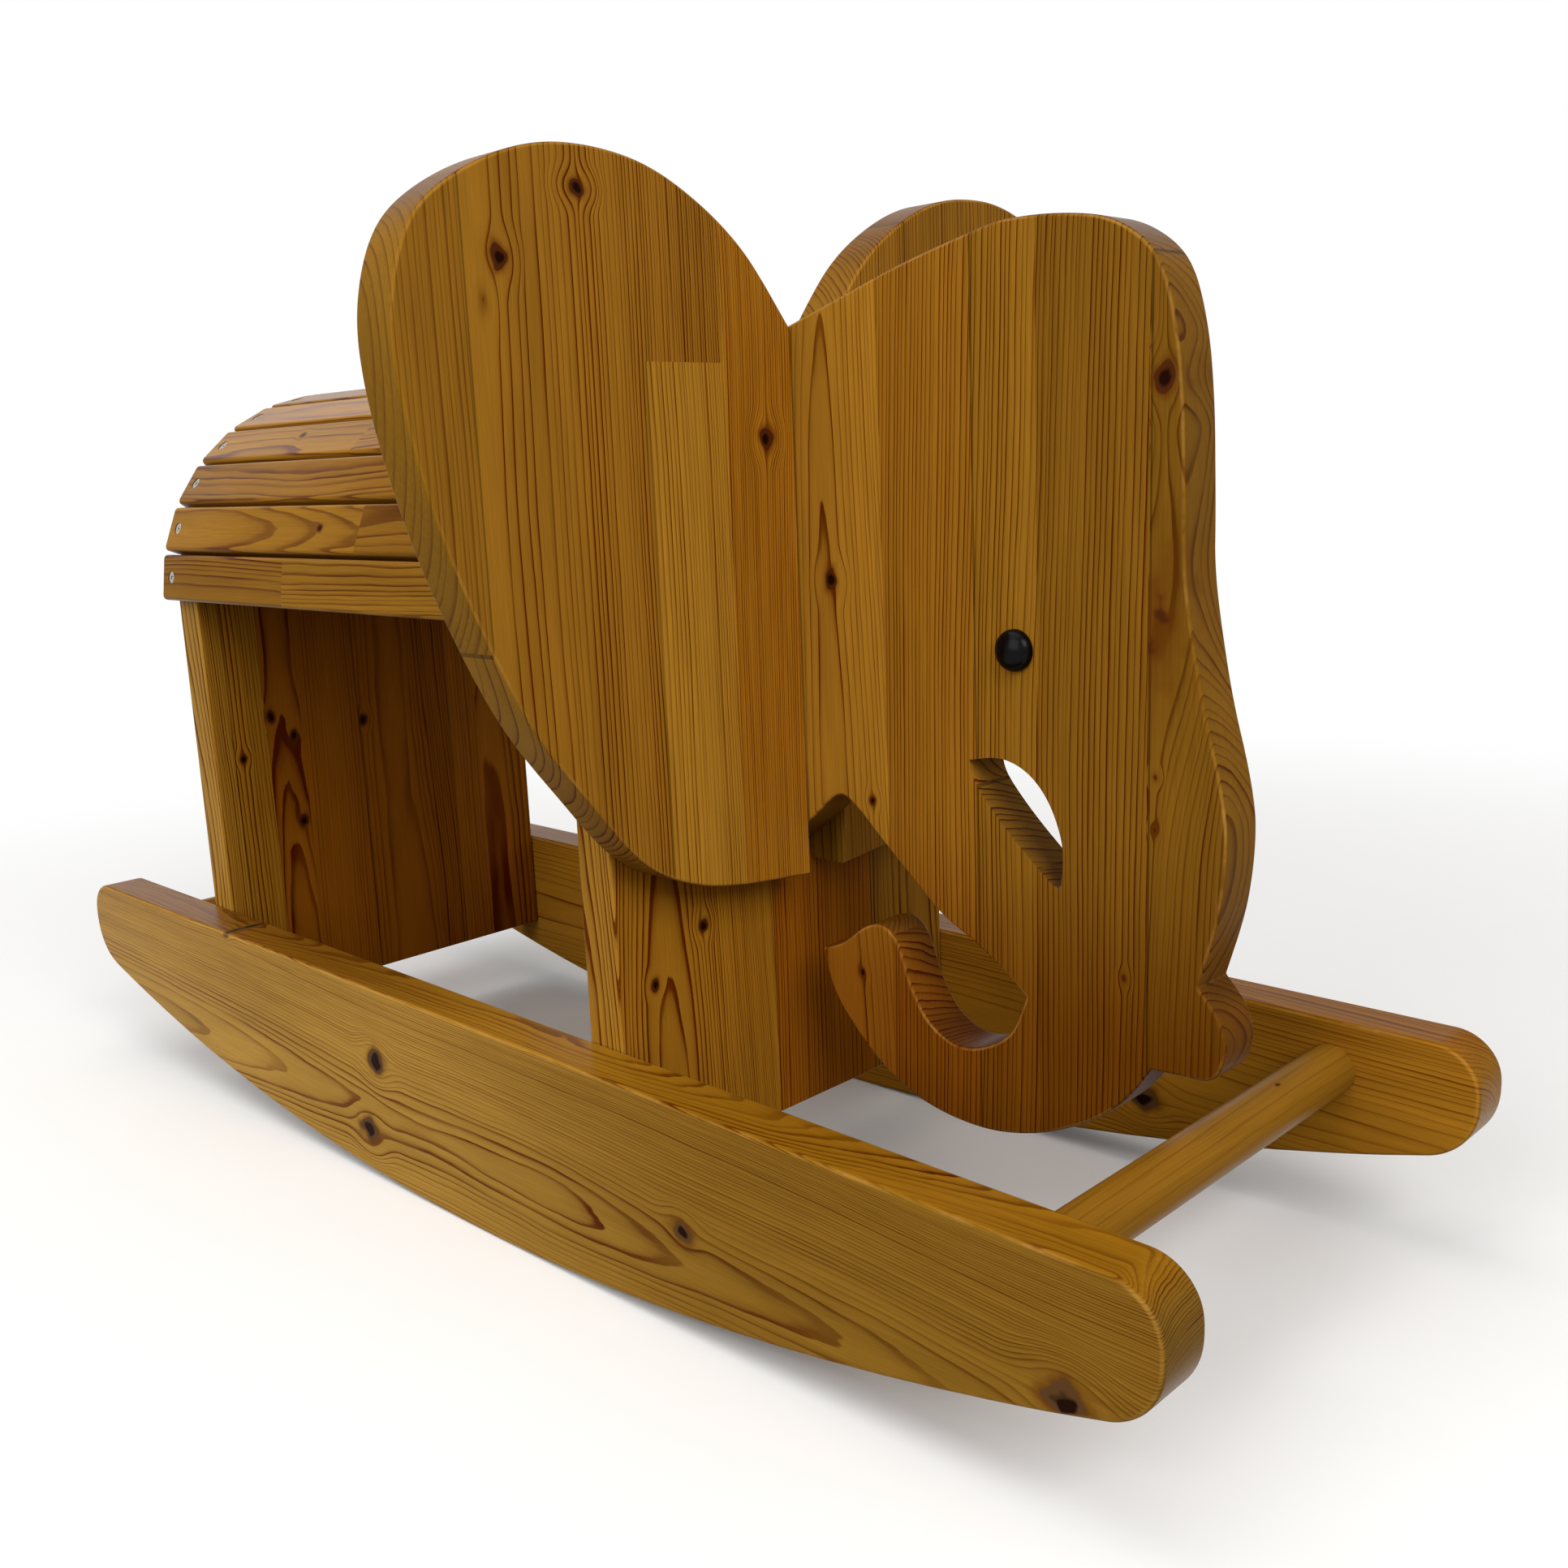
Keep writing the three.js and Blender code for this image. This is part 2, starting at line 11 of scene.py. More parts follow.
import bmesh
import bpy
from bpy.props import FloatProperty, FloatVectorProperty, IntProperty, PointerProperty
from mathutils import Matrix, Vector


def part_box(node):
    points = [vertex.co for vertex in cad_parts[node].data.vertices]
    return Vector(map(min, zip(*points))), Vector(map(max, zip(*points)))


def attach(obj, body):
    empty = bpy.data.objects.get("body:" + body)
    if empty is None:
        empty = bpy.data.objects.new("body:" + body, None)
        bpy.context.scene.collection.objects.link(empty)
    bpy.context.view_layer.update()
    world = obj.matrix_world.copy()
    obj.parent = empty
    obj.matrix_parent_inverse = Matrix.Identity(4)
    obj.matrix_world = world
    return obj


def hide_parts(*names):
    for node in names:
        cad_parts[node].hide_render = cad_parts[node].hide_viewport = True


bl_info = {
    "name": "Rocking Elephant",
    "version": (1, 0, 0),
    "blender": (4, 5, 0),
    "location": "View3D > Sidebar > Elephant",
    "description": "Dresses a wooden rocking elephant over its fixed frame",
    "category": "Object",
}

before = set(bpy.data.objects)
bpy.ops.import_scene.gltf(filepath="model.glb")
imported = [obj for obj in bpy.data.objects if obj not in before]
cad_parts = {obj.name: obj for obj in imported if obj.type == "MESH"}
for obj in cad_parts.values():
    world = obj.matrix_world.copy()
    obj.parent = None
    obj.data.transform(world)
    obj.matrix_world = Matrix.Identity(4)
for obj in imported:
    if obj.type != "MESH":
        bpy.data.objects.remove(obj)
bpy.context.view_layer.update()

MM = 0.001
# Corners closer than this count as being at one place.
HAIR = 0.01 * MM
UP = Vector((0, 0, 1))


def linear(code):
    """A colour written as sRGB hex, turned linear."""
    parts = [int(code[i : i + 2], 16) / 255 for i in (0, 2, 4)]
    return [p / 12.92 if p <= 0.04045 else ((p + 0.055) / 1.055) ** 2.4 for p in parts]


def middle(node):
    """The middle of a frame node's box."""
    low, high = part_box(node)
    return (low + high) / 2


def find_stance():
    """The matrix that tips level places into the toy's own stance, found from its two bars."""
    bar_rise, bar_middle = 88.9 * MM, 0.05 * MM
    front, rear = middle("front_crossbar"), middle("rear_crossbar")
    run = front - rear
    tip = Matrix.Rotation(-math.atan2(run.z, run.x), 4, "Y")
    level = Matrix.Translation((-bar_middle, 0, -bar_rise))
    return Matrix.Translation((front + rear) / 2) @ tip @ level


STANCE = find_stance()


def level_box(node):
    """A frame node's lowest and highest corners with the toy set level."""
    back = STANCE.inverted()
    places = [back @ v.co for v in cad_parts[node].data.vertices]
    low = Vector(min(p[i] for p in places) for i in range(3))
    return low, Vector(max(p[i] for p in places) for i in range(3))


def sheet_place(node, lengthwise):
    """Where a board's flat layout lies: x across and y up its face, z out of the face."""
    low, high = level_box(node)
    centre = (low + high) / 2
    if lengthwise:
        turn = Matrix(((1, 0, 0), (0, 0, -1), (0, 1, 0)))
        return Matrix.Translation((0, centre.y, 0)) @ turn.to_4x4()
    turn = Matrix(((0, 0, 1), (1, 0, 0), (0, 1, 0)))
    return Matrix.Translation((centre.x, 0, 0)) @ turn.to_4x4()


# Sizes and colours.


class ElephantSizes(bpy.types.PropertyGroup):
    board_round: FloatProperty(
        name="Board round",
        description="Radius of the rounded-over edges of the upright boards",
        default=1.6 * MM, min=0.5 * MM, max=3 * MM, unit="LENGTH",
    )
    rocker_round: FloatProperty(
        name="Rocker round",
        description="Radius of the rounded-over edges of the rockers",
        default=2 * MM, min=0.5 * MM, max=3 * MM, unit="LENGTH",
    )
    slat_round: FloatProperty(
        name="Slat round",
        description="Radius of a slat's upper edges",
        default=2.4 * MM, min=0.5 * MM, max=3 * MM, unit="LENGTH",
    )
    slat_corner: FloatProperty(
        name="Slat corner",
        description="Radius of a slat's four corners, seen from above",
        default=3.2 * MM, min=1 * MM, max=8 * MM, unit="LENGTH",
    )
    mouth_ease: FloatProperty(
        name="Mouth ease",
        description="How far the rim of the mouth hole is eased",
        default=0.8 * MM, min=0.1 * MM, max=2 * MM, unit="LENGTH",
    )
    screw_head: FloatProperty(
        name="Screw head",
        description="Diameter of the screw heads",
        default=7.4 * MM, min=5 * MM, max=9 * MM, unit="LENGTH",
    )
    recess: FloatProperty(
        name="Cross recess",
        description="Width across the arms of the cross recess",
        default=4.6 * MM, min=2 * MM, max=6 * MM, unit="LENGTH",
    )
    round_steps: IntProperty(
        name="Round steps", description="Facets in a rounded edge", default=4, min=2, max=8,
    )


class ElephantFinish(bpy.types.PropertyGroup):
    early_wood: FloatVectorProperty(
        name="Early wood", description="Pine between the growth lines, under lacquer",
        default=linear("A06E1F"), subtype="COLOR", min=0, max=1,
    )
    late_wood: FloatVectorProperty(
        name="Late wood", description="Pine in the growth lines, under lacquer",
        default=linear("5A2300"), subtype="COLOR", min=0, max=1,
    )
    knot_stain: FloatVectorProperty(
        name="Knot stain", description="The resin-soaked wood round a knot",
        default=linear("5F2F06"), subtype="COLOR", min=0, max=1,
    )
    knot_heart: FloatVectorProperty(
        name="Knot heart", description="The wood inside a knot",
        default=linear("4C240B"), subtype="COLOR", min=0, max=1,
    )
    knot_rim: FloatVectorProperty(
        name="Knot rim", description="The dark core of a knot",
        default=linear("1F0A03"), subtype="COLOR", min=0, max=1,
    )
    # Pale wood along rounded edges: wear, and a painted highlight on the round-overs.
    rubbed_edge_highlight: FloatVectorProperty(
        name="Rubbed edge", description="The wood along rounded edges, where hands rub it",
        default=linear("B5853F"), subtype="COLOR", min=0, max=1,
    )
    lacquer_roughness: FloatProperty(
        name="Lacquer roughness", description="Satin of the lacquer",
        default=0.36, min=0.1, max=1, subtype="FACTOR",
    )


class ElephantStage(bpy.types.PropertyGroup):
    lens: FloatProperty(
        name="Lens", description="Focal length, for a sensor 36 mm wide",
        default=35.6, min=10, max=200, unit="CAMERA",
    )
    azimuth: FloatProperty(
        name="Azimuth", description="How far the camera stands round from the right side",
        default=math.radians(44.79), unit="ROTATION",
    )
    elevation: FloatProperty(
        name="Elevation", description="How far the camera looks down",
        default=math.radians(11.81), unit="ROTATION",
    )
    roll: FloatProperty(
        name="Roll", description="How far the camera is tilted about its line of sight",
        default=math.radians(-2.36), unit="ROTATION",
    )
    camera_place: FloatVectorProperty(
        name="Camera place", description="Where the camera stands, with the toy set level",
        default=(677.5 * MM, -563.5 * MM, 389.4 * MM), unit="LENGTH", subtype="TRANSLATION",
    )
    floor_colour: FloatVectorProperty(
        name="Floor", description="Colour of the floor",
        default=linear("F4F3F1"), subtype="COLOR", min=0, max=1,
    )


# Modelling by hand.


def only(piece):
    """Makes one object the only selected one."""
    bpy.ops.object.select_all(action="DESELECT")
    piece.select_set(True)
    bpy.context.view_layer.objects.active = piece


def primitive(kind, **settings):
    """Adds one of the mesh primitives, selected by itself."""
    bpy.ops.object.select_all(action="DESELECT")
    getattr(bpy.ops.mesh, f"primitive_{kind}_add")(**settings)
    return bpy.context.object


def spin(degrees, axis):
    """A turn about an axis."""
    return Matrix.Rotation(math.radians(degrees), 4, axis)


def edit(piece, kind="EDGE"):
    """Opens one object in edit mode with nothing selected."""
    only(piece)
    bpy.ops.object.mode_set(mode="EDIT")
    bpy.ops.mesh.select_mode(type=kind)
    bpy.ops.mesh.select_all(action="DESELECT")


def pick(piece, kind, wanted):
    """In edit mode, selects the corners, edges or faces that pass a test."""
    mesh = bmesh.from_edit_mesh(piece.data)
    for part in getattr(mesh, kind):
        if wanted(part):
            part.select_set(True)
    bmesh.update_edit_mesh(piece.data)


def pick_level(piece, *heights):
    """In edit mode, selects the edges that lie level at given heights."""
    for z in heights:
        pick(piece, "edges", lambda e, z=z: all(abs(v.co.z - z) < HAIR for v in e.verts))


def bevel(radius, steps, clamp=True):
    """In edit mode, rounds the selected edges."""
    bpy.ops.mesh.bevel(offset=radius, segments=steps, affect="EDGES", clamp_overlap=clamp)


def extrude(height):
    """In edit mode, extrudes the selected faces along z."""
    bpy.ops.mesh.extrude_region_move(TRANSFORM_OT_translate={"value": (0, 0, height)})


def resize(across, z=0, upright=1):
    """In edit mode, scales the selection across the z axis, about a height on it."""
    bpy.ops.transform.resize(value=(across, across, upright), center_override=(0, 0, z))


def close_edit(piece):
    """Merges doubled corners, points the faces outwards and leaves edit mode."""
    bpy.ops.mesh.select_all(action="SELECT")
    bpy.ops.mesh.remove_doubles(threshold=0.002 * MM)
    bpy.ops.mesh.normals_make_consistent(inside=False)
    bpy.ops.object.mode_set(mode="OBJECT")


def apply(piece, kind, **settings):
    """Adds a modifier and applies it."""
    only(piece)
    modifier = piece.modifiers.new(kind.lower(), kind)
    for name, value in settings.items():
        setattr(modifier, name, value)
    bpy.ops.object.modifier_apply(modifier=modifier.name)


def carve(piece, cutters):
    """Takes cutters out of a piece, and removes them."""
    for cutter in cutters:
        apply(piece, "BOOLEAN", operation="DIFFERENCE", solver="EXACT", object=cutter)
        bpy.data.objects.remove(cutter)


def soften(piece, degrees=32):
    """Shades round edges smooth, and keeps flat faces flat."""
    only(piece)
    bpy.ops.object.shade_smooth_by_angle(angle=math.radians(degrees))
    apply(piece, "WEIGHTED_NORMAL", keep_sharp=True, weight=100)


def mark_worn_highlight_rounds(board, thickness, radius):
    """Marks the corners that lie on the outer half of a board's rounded edges, where wear and a
    painted highlight go.
    """
    worn = board.data.attributes.new("worn", "FLOAT", "POINT")
    for vertex, value in zip(board.data.vertices, worn.data):
        depth = (thickness / 2 - abs(vertex.co.z)) / radius
        value.value = 1 if 0.02 < depth < 0.5 else 0


def finish_piece(piece, name, node, material, place):
    """Puts a finished piece in its stance, names it, and lets it stand for its node."""
    piece.data.transform(STANCE @ place)
    piece.matrix_world = Matrix.Identity(4)
    piece.name = name
    piece.data.name = name
    piece.data.materials.clear()
    piece.data.materials.append(material)
    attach(piece, "root")
    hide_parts(node)


def twin(piece):
    """A copy of a piece with a mesh of its own."""
    copy = piece.copy()
    copy.data = piece.data.copy()
    bpy.context.scene.collection.objects.link(copy)
    return copy


def rings_at(node, place, depth):
    """The loops of hard edges at one depth of a board's frame node, longest first."""
    mesh = bmesh.new()
    mesh.from_mesh(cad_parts[node].data)
    mesh.transform((STANCE @ place).inverted())
    bmesh.ops.remove_doubles(mesh, verts=mesh.verts, dist=HAIR)
    nexts = {}
    for edge in mesh.edges:
        hard = len(edge.link_faces) == 2 and edge.calc_face_angle() > math.radians(1)
        if hard and all(abs(v.co.z - depth) < 0.05 * MM for v in edge.verts):
            for one, other in (edge.verts, reversed(edge.verts)):
                nexts.setdefault(one, []).append(other)
    loops = []
    while nexts:
        loop = [next(iter(nexts))]
        while True:
            ways = [v for v in nexts.pop(loop[-1], []) if v in nexts]
            if not ways:
                break
            loop.append(ways[0])
        loops.append([v.co.xy.copy() for v in loop])
    mesh.free()
    loops.sort(key=lambda loop: -sum((a - b).length for a, b in zip(loop, loop[1:])))
    return [loop if spread(loop) > 0 else loop[::-1] for loop in loops]


def spread(ring):
    """Twice the area of a ring, positive if it runs anticlockwise."""
    return sum(a.cross(b) for a, b in zip(ring, ring[1:] + ring[:1]))


def smooth_ring(ring, step, clear, hollow):
    """A ring drawn through the same points as smooth curves, with its real corners kept.

    Points closer than clear to an outward corner would cross when the edge is rounded over, so
    they are left out. An inward corner becomes a small arc of the hollow radius.
    """
    count = len(ring)
    runs = [ring[(i + 1) % count] - ring[i] for i in range(count)]
    lengths = [run.length for run in runs]
    ways = [run.normalized() for run in runs]
    turns = [ways[i - 1].angle_signed(ways[i]) * -1 for i in range(count)]
    corner_turn, straight_ratio, bent = math.radians(35), 2.5, math.radians(0.75)
    low, high = (Vector(reach(p[n] for p in ring) for n in range(2)) for reach in (min, max))
    # A crisper edge stands a hair higher when the board leans.
    lean_room = 0.03 * MM
    high.y -= lean_room
    headings = []
    for i in range(count):
        before, after = lengths[i - 1], lengths[i]
        if abs(turns[i]) > corner_turn:
            headings.append(None)
        elif before > straight_ratio * after:
            headings.append(ways[i - 1])
        elif after > straight_ratio * before:
            headings.append(ways[i])
        else:
            headings.append((ways[i - 1] * after + ways[i] * before).normalized())
    drawn = []
    for i in range(count):
        start, end = ring[i], ring[(i + 1) % count]
        out = headings[i] or ways[i]
        home = headings[(i + 1) % count] or ways[i]
        curved = max(out.angle(ways[i]), home.angle(ways[i])) > bent
        parts = max(1, math.ceil(lengths[i] / step)) if curved else 1
        corner = turns[i] if headings[i] is None else 0
        for k in range(parts):
            t = k / parts
            point = (
                start * (2 * t**3 - 3 * t**2 + 1)
                + out * lengths[i] * (t**3 - 2 * t**2 + t)
                + end * (3 * t**2 - 2 * t**3)
                + home * lengths[i] * (t**3 - t**2)
            )
            point = Vector(min(max(point[n], low[n]), high[n]) for n in range(2))
            drawn.append((point, corner if k == 0 else 0))
    return settle_corners(drawn, clear, hollow)


def settle_corners(drawn, clear, hollow):
    """Frees the points round each corner and rounds the inward ones."""
    kept = list(drawn)
    for point, turn in drawn:
        if turn:
            radius = clear if turn > 0 else hollow
            reach = radius * math.tan(abs(turn) / 2) * 1.05
            kept = [(p, t) for p, t in kept if t or (p - point).length > reach]
    ring = []
    for i, (point, turn) in enumerate(kept):
        if turn >= 0 or not hollow:
            ring.append(point)
            continue
        before = (kept[i - 1][0] - point).normalized()
        after = (kept[(i + 1) % len(kept)][0] - point).normalized()
        half = before.angle(after) / 2
        centre = point + (before + after).normalized() * hollow / math.sin(half)
        start = point + before * hollow / math.tan(half) - centre
        sweep = -(math.pi - 2 * half)
        steps = 8
        for k in range(steps + 1):
            spun = start.copy()
            spun.rotate(Matrix.Rotation(sweep * k / steps, 2))
            ring.append(centre + spun)
    return ring


def saw_board(ring, thickness):
    """A flat-sided board: a filled circle whose corners are set on a ring, then extruded."""
    board = primitive("circle", vertices=len(ring), radius=1, fill_type="NGON")
    for vertex, place in zip(board.data.vertices, ring):
        vertex.co = (place.x, place.y, -thickness / 2)
    edit(board, "FACE")
    bpy.ops.mesh.select_all(action="SELECT")
    extrude(thickness)
    close_edit(board)
    return board


def round_over(board, thickness, radius, steps):
    """Rounds a board's two face outlines over."""
    edit(board)
    pick_level(board, -thickness / 2, thickness / 2)
    bevel(radius, steps, clamp=False)
    close_edit(board)


def outline_board(node, lengthwise, radius, steps):
    """A board sawn to its frame node's outline and rounded over, and its place."""
    place = sheet_place(node, lengthwise)
    low, high = level_box(node)
    thickness = (high - low)[1 if lengthwise else 0]
    cad_round, step, hollow = 3 * MM, 2.5 * MM, 1.2 * MM
    ring = rings_at(node, place, thickness / 2 - cad_round)[0]
    board = saw_board(smooth_ring(ring, step, radius * 1.15, hollow), thickness)
    round_over(board, thickness, radius, steps)
    mark_worn_highlight_rounds(board, thickness, radius)
    return board, place


def cylinder(radius, length, place):
    """A plain round bar along the z axis of its place."""
    bar = primitive("cylinder", vertices=64, radius=radius, depth=length)
    bar.data.transform(place)
    return bar


def turn_screw(radius, grow, rise):
    """A countersunk wood screw along z, its head's face at zero: a disc extruded in steps."""
    shank, cone, rim = 1.8 * MM + grow, 1.9 * MM, 0.4 * MM
    length, tip, sides = 35 * MM, 5 * MM, 32
    head = radius + grow
    screw = primitive(
        "circle", vertices=sides, radius=head, fill_type="NGON", location=(0, 0, rise)
    )
    screw.data.transform(screw.matrix_world)
    screw.matrix_world = Matrix.Identity(4)
    edit(screw, "FACE")
    bpy.ops.mesh.select_all(action="SELECT")
    steps = [(rise + rim, 1), (cone, shank / head), (length - tip - cone - rim, 1), (tip, 0.12)]
    depth = rise
    for drop, narrow in steps:
        extrude(-drop)
        depth -= drop
        resize(narrow, depth)
    close_edit(screw)
    return screw


def cross_cutter(width, depth):
    """The tool of a cross recess: two crossed blades that narrow downwards."""
    blade, narrow = 0.9 * MM, 0.6
    blades = []
    for x, y in ((width, blade), (blade, width)):
        piece = primitive("cube", size=1)
        piece.data.transform(Matrix.Diagonal((x, y, 2 * depth, 1)))
        edit(piece, "VERT")
        pick(piece, "verts", lambda v: v.co.z < 0)
        resize(narrow)
        close_edit(piece)
        blades.append(piece)
    apply(blades[0], "BOOLEAN", operation="UNION", solver="EXACT", object=blades[1])
    bpy.data.objects.remove(blades[1])
    return blades[0]


# Materials.


def add(tree, kind, inputs=None, stops=(), between="LINEAR", **settings):
    """Adds a node with its settings, and feeds its sockets with values, outputs or nodes.

    Kind is its type, without the ShaderNode of a shading node. A node that feeds a socket
    does so from its first output in use. A colour ramp's stops are places and colours, and
    between is how it runs between them.
    """
    node = tree.nodes.new(kind if kind.startswith("Node") else f"ShaderNode{kind}")
    for name, value in settings.items():
        setattr(node, name, value)
    for i, (place, colour) in enumerate(stops):
        elements = node.color_ramp.elements
        if i == 0:
            node.color_ramp.interpolation = between
            elements.remove(elements[1])
        stop = elements.new(place) if i else elements[0]
        stop.position = place
        stop.color = colour if len(colour) == 4 else (*colour, 1)
    for socket, value in (inputs or {}).items():
        if isinstance(value, bpy.types.Node):
            value = next(output for output in value.outputs if output.enabled)
        if isinstance(value, bpy.types.NodeSocket):
            tree.links.new(value, node.inputs[socket])
        else:
            node.inputs[socket].default_value = value
    return node


def new_group(name, inputs, outputs):
    """A node group with named sockets, and what it is given."""
    tree = bpy.data.node_groups.new(name, "ShaderNodeTree")
    for sockets, way in ((inputs, "INPUT"), (outputs, "OUTPUT")):
        for label, kind in sockets:
            tree.interface.new_socket(label, in_out=way, socket_type=f"NodeSocket{kind}")
    return tree, add(tree, "NodeGroupInput").outputs


def grain_noise(tree, given, across, along, detail, roughness=0.5):
    """Noise in clouds of a size in mm across and along the grain, other ones for each seed."""
    scaled = add(
        tree, "VectorMath", {0: given["Place"], 1: (1 / across, 1 / across, 1 / along)},
        operation="MULTIPLY",
    )
    shifted = add(tree, "VectorMath", {0: scaled, 1: given["Seed"]})
    return add(
        tree, "TexNoise", {"Vector": shifted, "Scale": 1, "Detail": detail, "Roughness": roughness}
    )


def pine_figure():
    """Growth rings as a solid: how late the wood is at a place, and its fibres and clouds.

    Place is in millimetres: x across the stave, y through it, z along the grain. Pith holds
    where the rings' centre lies across and through, and how wide a year is 50 mm from it.
    """
    name = "pine figure"
    if name in bpy.data.node_groups:
        return bpy.data.node_groups[name]
    tree, given = new_group(
        name,
        [("Place", "Vector"), ("Pith", "Vector"), ("Push", "Vector"), ("Taper", "Float"),
         ("Waver", "Float"), ("Seed", "Float")],
        [("Late", "Float"), ("Fibre", "Float"), ("Cloud", "Float")],
    )
    warped = add(tree, "VectorMath", {0: given["Place"], 1: given["Push"]})
    # Waves of the trunk, wobble of the years and tremble of the fibres: grain length in mm
    # across and along, and how far each moves the rings.
    for across, along, reach, detail in ((120, 330, 15, 1), (26, 120, 2.6, 2), (4, 26, 0.4, 2)):
        noise = grain_noise(tree, given, across, along, detail)
        centred = add(
            tree, "VectorMath", {0: noise.outputs["Color"], 1: (0.5, 0.5, 0.5)},
            operation="SUBTRACT",
        )
        reached = add(tree, "VectorMath", {0: centred, 1: (reach, reach, 0)}, operation="MULTIPLY")
        wavered = add(tree, "VectorMath", {0: reached, "Scale": given["Waver"]}, operation="SCALE")
        warped = add(tree, "VectorMath", {0: warped, 1: wavered})
    from_pith = add(tree, "VectorMath", {0: warped, 1: given["Pith"]}, operation="SUBTRACT")
    flat = add(tree, "VectorMath", {0: from_pith, 1: (1, 1, 0)}, operation="MULTIPLY")
    radius = add(tree, "VectorMath", {0: flat}, operation="LENGTH")
    along = add(tree, "SeparateXYZ", {0: given["Place"]}).outputs["Z"]
    tapered = add(tree, "Math", {0: along, 1: given["Taper"], 2: radius}, operation="MULTIPLY_ADD")
    # A trunk adds about the same area of wood each year, so its rings narrow outwards.
    area = add(tree, "Math", {0: tapered, 1: tapered}, operation="MULTIPLY")
    year_width = add(tree, "SeparateXYZ", {0: given["Pith"]}).outputs["Z"]
    per_year = add(tree, "Math", {0: year_width, 1: 100}, operation="MULTIPLY")
    years = add(tree, "Math", {0: area, 1: per_year}, operation="DIVIDE")
    # Good and poor years: neighbouring rings differ in width.
    uneven_place = add(
        tree, "Math", {0: years, 1: 0.4, 2: given["Seed"]}, operation="MULTIPLY_ADD"
    )
    uneven = add(
        tree, "TexNoise", {"W": uneven_place, "Scale": 1, "Detail": 1}, noise_dimensions="1D"
    )
    grown = add(tree, "Math", {0: uneven, 1: 1.2, 2: years}, operation="MULTIPLY_ADD")
    season = add(tree, "Math", {0: grown}, operation="FRACT")
    # Latewood is about as thick in a wide year as in a narrow one.
    doubled = add(tree, "Math", {0: per_year, 1: tapered}, operation="DIVIDE")
    wide = add(tree, "Math", {0: doubled, 1: 0.32}, operation="MULTIPLY")
    delay = add(tree, "Math", {0: wide, 1: 1}, operation="MAXIMUM")
    autumn = add(tree, "Math", {0: season, 1: delay}, operation="POWER")
    # It darkens slowly through the summer and stops at once.
    grey = [(0, 0.04), (0.4, 0.14), (0.64, 0.4), (0.78, 0.96), (0.95, 1.0), (1, 0.04)]
    late = add(tree, "ValToRGB", {0: autumn}, stops=[(at, (level,) * 3) for at, level in grey])
    year = add(tree, "Math", {0: grown}, operation="FLOOR")
    luck = add(tree, "TexWhiteNoise", {"W": year}, noise_dimensions="1D")
    # Runs of dry years draw darker lines than the runs between them.
    climate_place = add(
        tree, "Math", {0: year, 1: 0.17, 2: given["Seed"]}, operation="MULTIPLY_ADD"
    )
    climate = add(
        tree, "TexNoise", {"W": climate_place, "Scale": 1, "Detail": 0}, noise_dimensions="1D"
    )
    dryness = add(
        tree, "MapRange",
        {"Value": climate, "From Min": 0.3, "From Max": 0.7, "To Min": 0.75, "To Max": 1.35},
    )
    strength = add(tree, "MapRange", {"Value": luck, "To Min": 0.8, "To Max": 1})
    marking = add(tree, "Math", {0: dryness, 1: strength}, operation="MULTIPLY")
    lift = add(tree, "Math", {0: luck, 1: 0.1}, operation="MULTIPLY")
    marked = add(tree, "Math", {0: late, 1: marking, 2: lift}, operation="MULTIPLY_ADD")
    # A line darkens and fades along its way.
    fade_place = add(
        tree, "VectorMath", {0: given["Place"], 1: (0.05, 0.05, 0.012)}, operation="MULTIPLY"
    )
    fade_seeded = add(tree, "VectorMath", {0: fade_place, 1: given["Seed"]})
    fade_noise = add(
        tree, "TexNoise", {"Vector": fade_seeded, "W": year, "Scale": 1, "Detail": 1},
        noise_dimensions="4D",
    )
    fade = add(
        tree, "MapRange",
        {"Value": fade_noise, "From Min": 0.3, "From Max": 0.6, "To Min": 0.6, "To Max": 1.15},
    )
    faded = add(tree, "Math", {0: marked, 1: fade}, operation="MULTIPLY")
    # Fibres are drawn coarser than real ones, so that they show.
    fibre = grain_noise(tree, given, 0.6, 34, 2, 0.6)
    cloud = grain_noise(tree, given, 26, 200, 2, 0.6)
    add(tree, "NodeGroupOutput", {"Late": faded, "Fibre": fibre, "Cloud": cloud})
    return tree


def knot_flow():
    """How the grain parts round one knot, and how far inside the knot a place is."""
    name = "knot flow"
    if name in bpy.data.node_groups:
        return bpy.data.node_groups[name]
    tree, given = new_group(
        name,
        [("Place", "Vector"), ("Knot", "Vector"), ("Radius", "Vector"), ("Wobble", "Vector"),
         ("Strength", "Float"), ("Within", "Float")],
        [("Push", "Vector"), ("Depth", "Float")],
    )
    apart = add(tree, "VectorMath", {0: given["Place"], 1: given["Knot"]}, operation="SUBTRACT")
    flat = add(tree, "VectorMath", {0: apart, 1: (1, 0, 1)}, operation="MULTIPLY")
    in_radii = add(tree, "VectorMath", {0: flat, 1: given["Radius"]}, operation="DIVIDE")
    shaken = add(tree, "VectorMath", {0: in_radii, 1: given["Wobble"]})
    plain, ragged = (
        add(tree, "VectorMath", {0: way}, operation="LENGTH") for way in (in_radii, shaken)
    )
    # The pull fades out at four radii, and the stain at nearly two.
    pull = add(
        tree, "MapRange",
        {"Value": plain, "From Min": 0.2, "From Max": 4, "To Min": -0.86, "To Max": 0},
        interpolation_type="SMOOTHERSTEP",
    )
    held = add(tree, "Math", {0: pull, 1: given["Within"]}, operation="MULTIPLY")
    push = add(tree, "VectorMath", {0: flat, "Scale": held}, operation="SCALE")
    strength = add(tree, "Math", {0: given["Strength"], 1: given["Within"]}, operation="MULTIPLY")
    depth = add(
        tree, "MapRange",
        {"Value": ragged, "From Min": 0, "From Max": 1.8, "To Min": strength, "To Max": 0},
    )
    add(tree, "NodeGroupOutput", {"Push": push, "Depth": depth})
    return tree


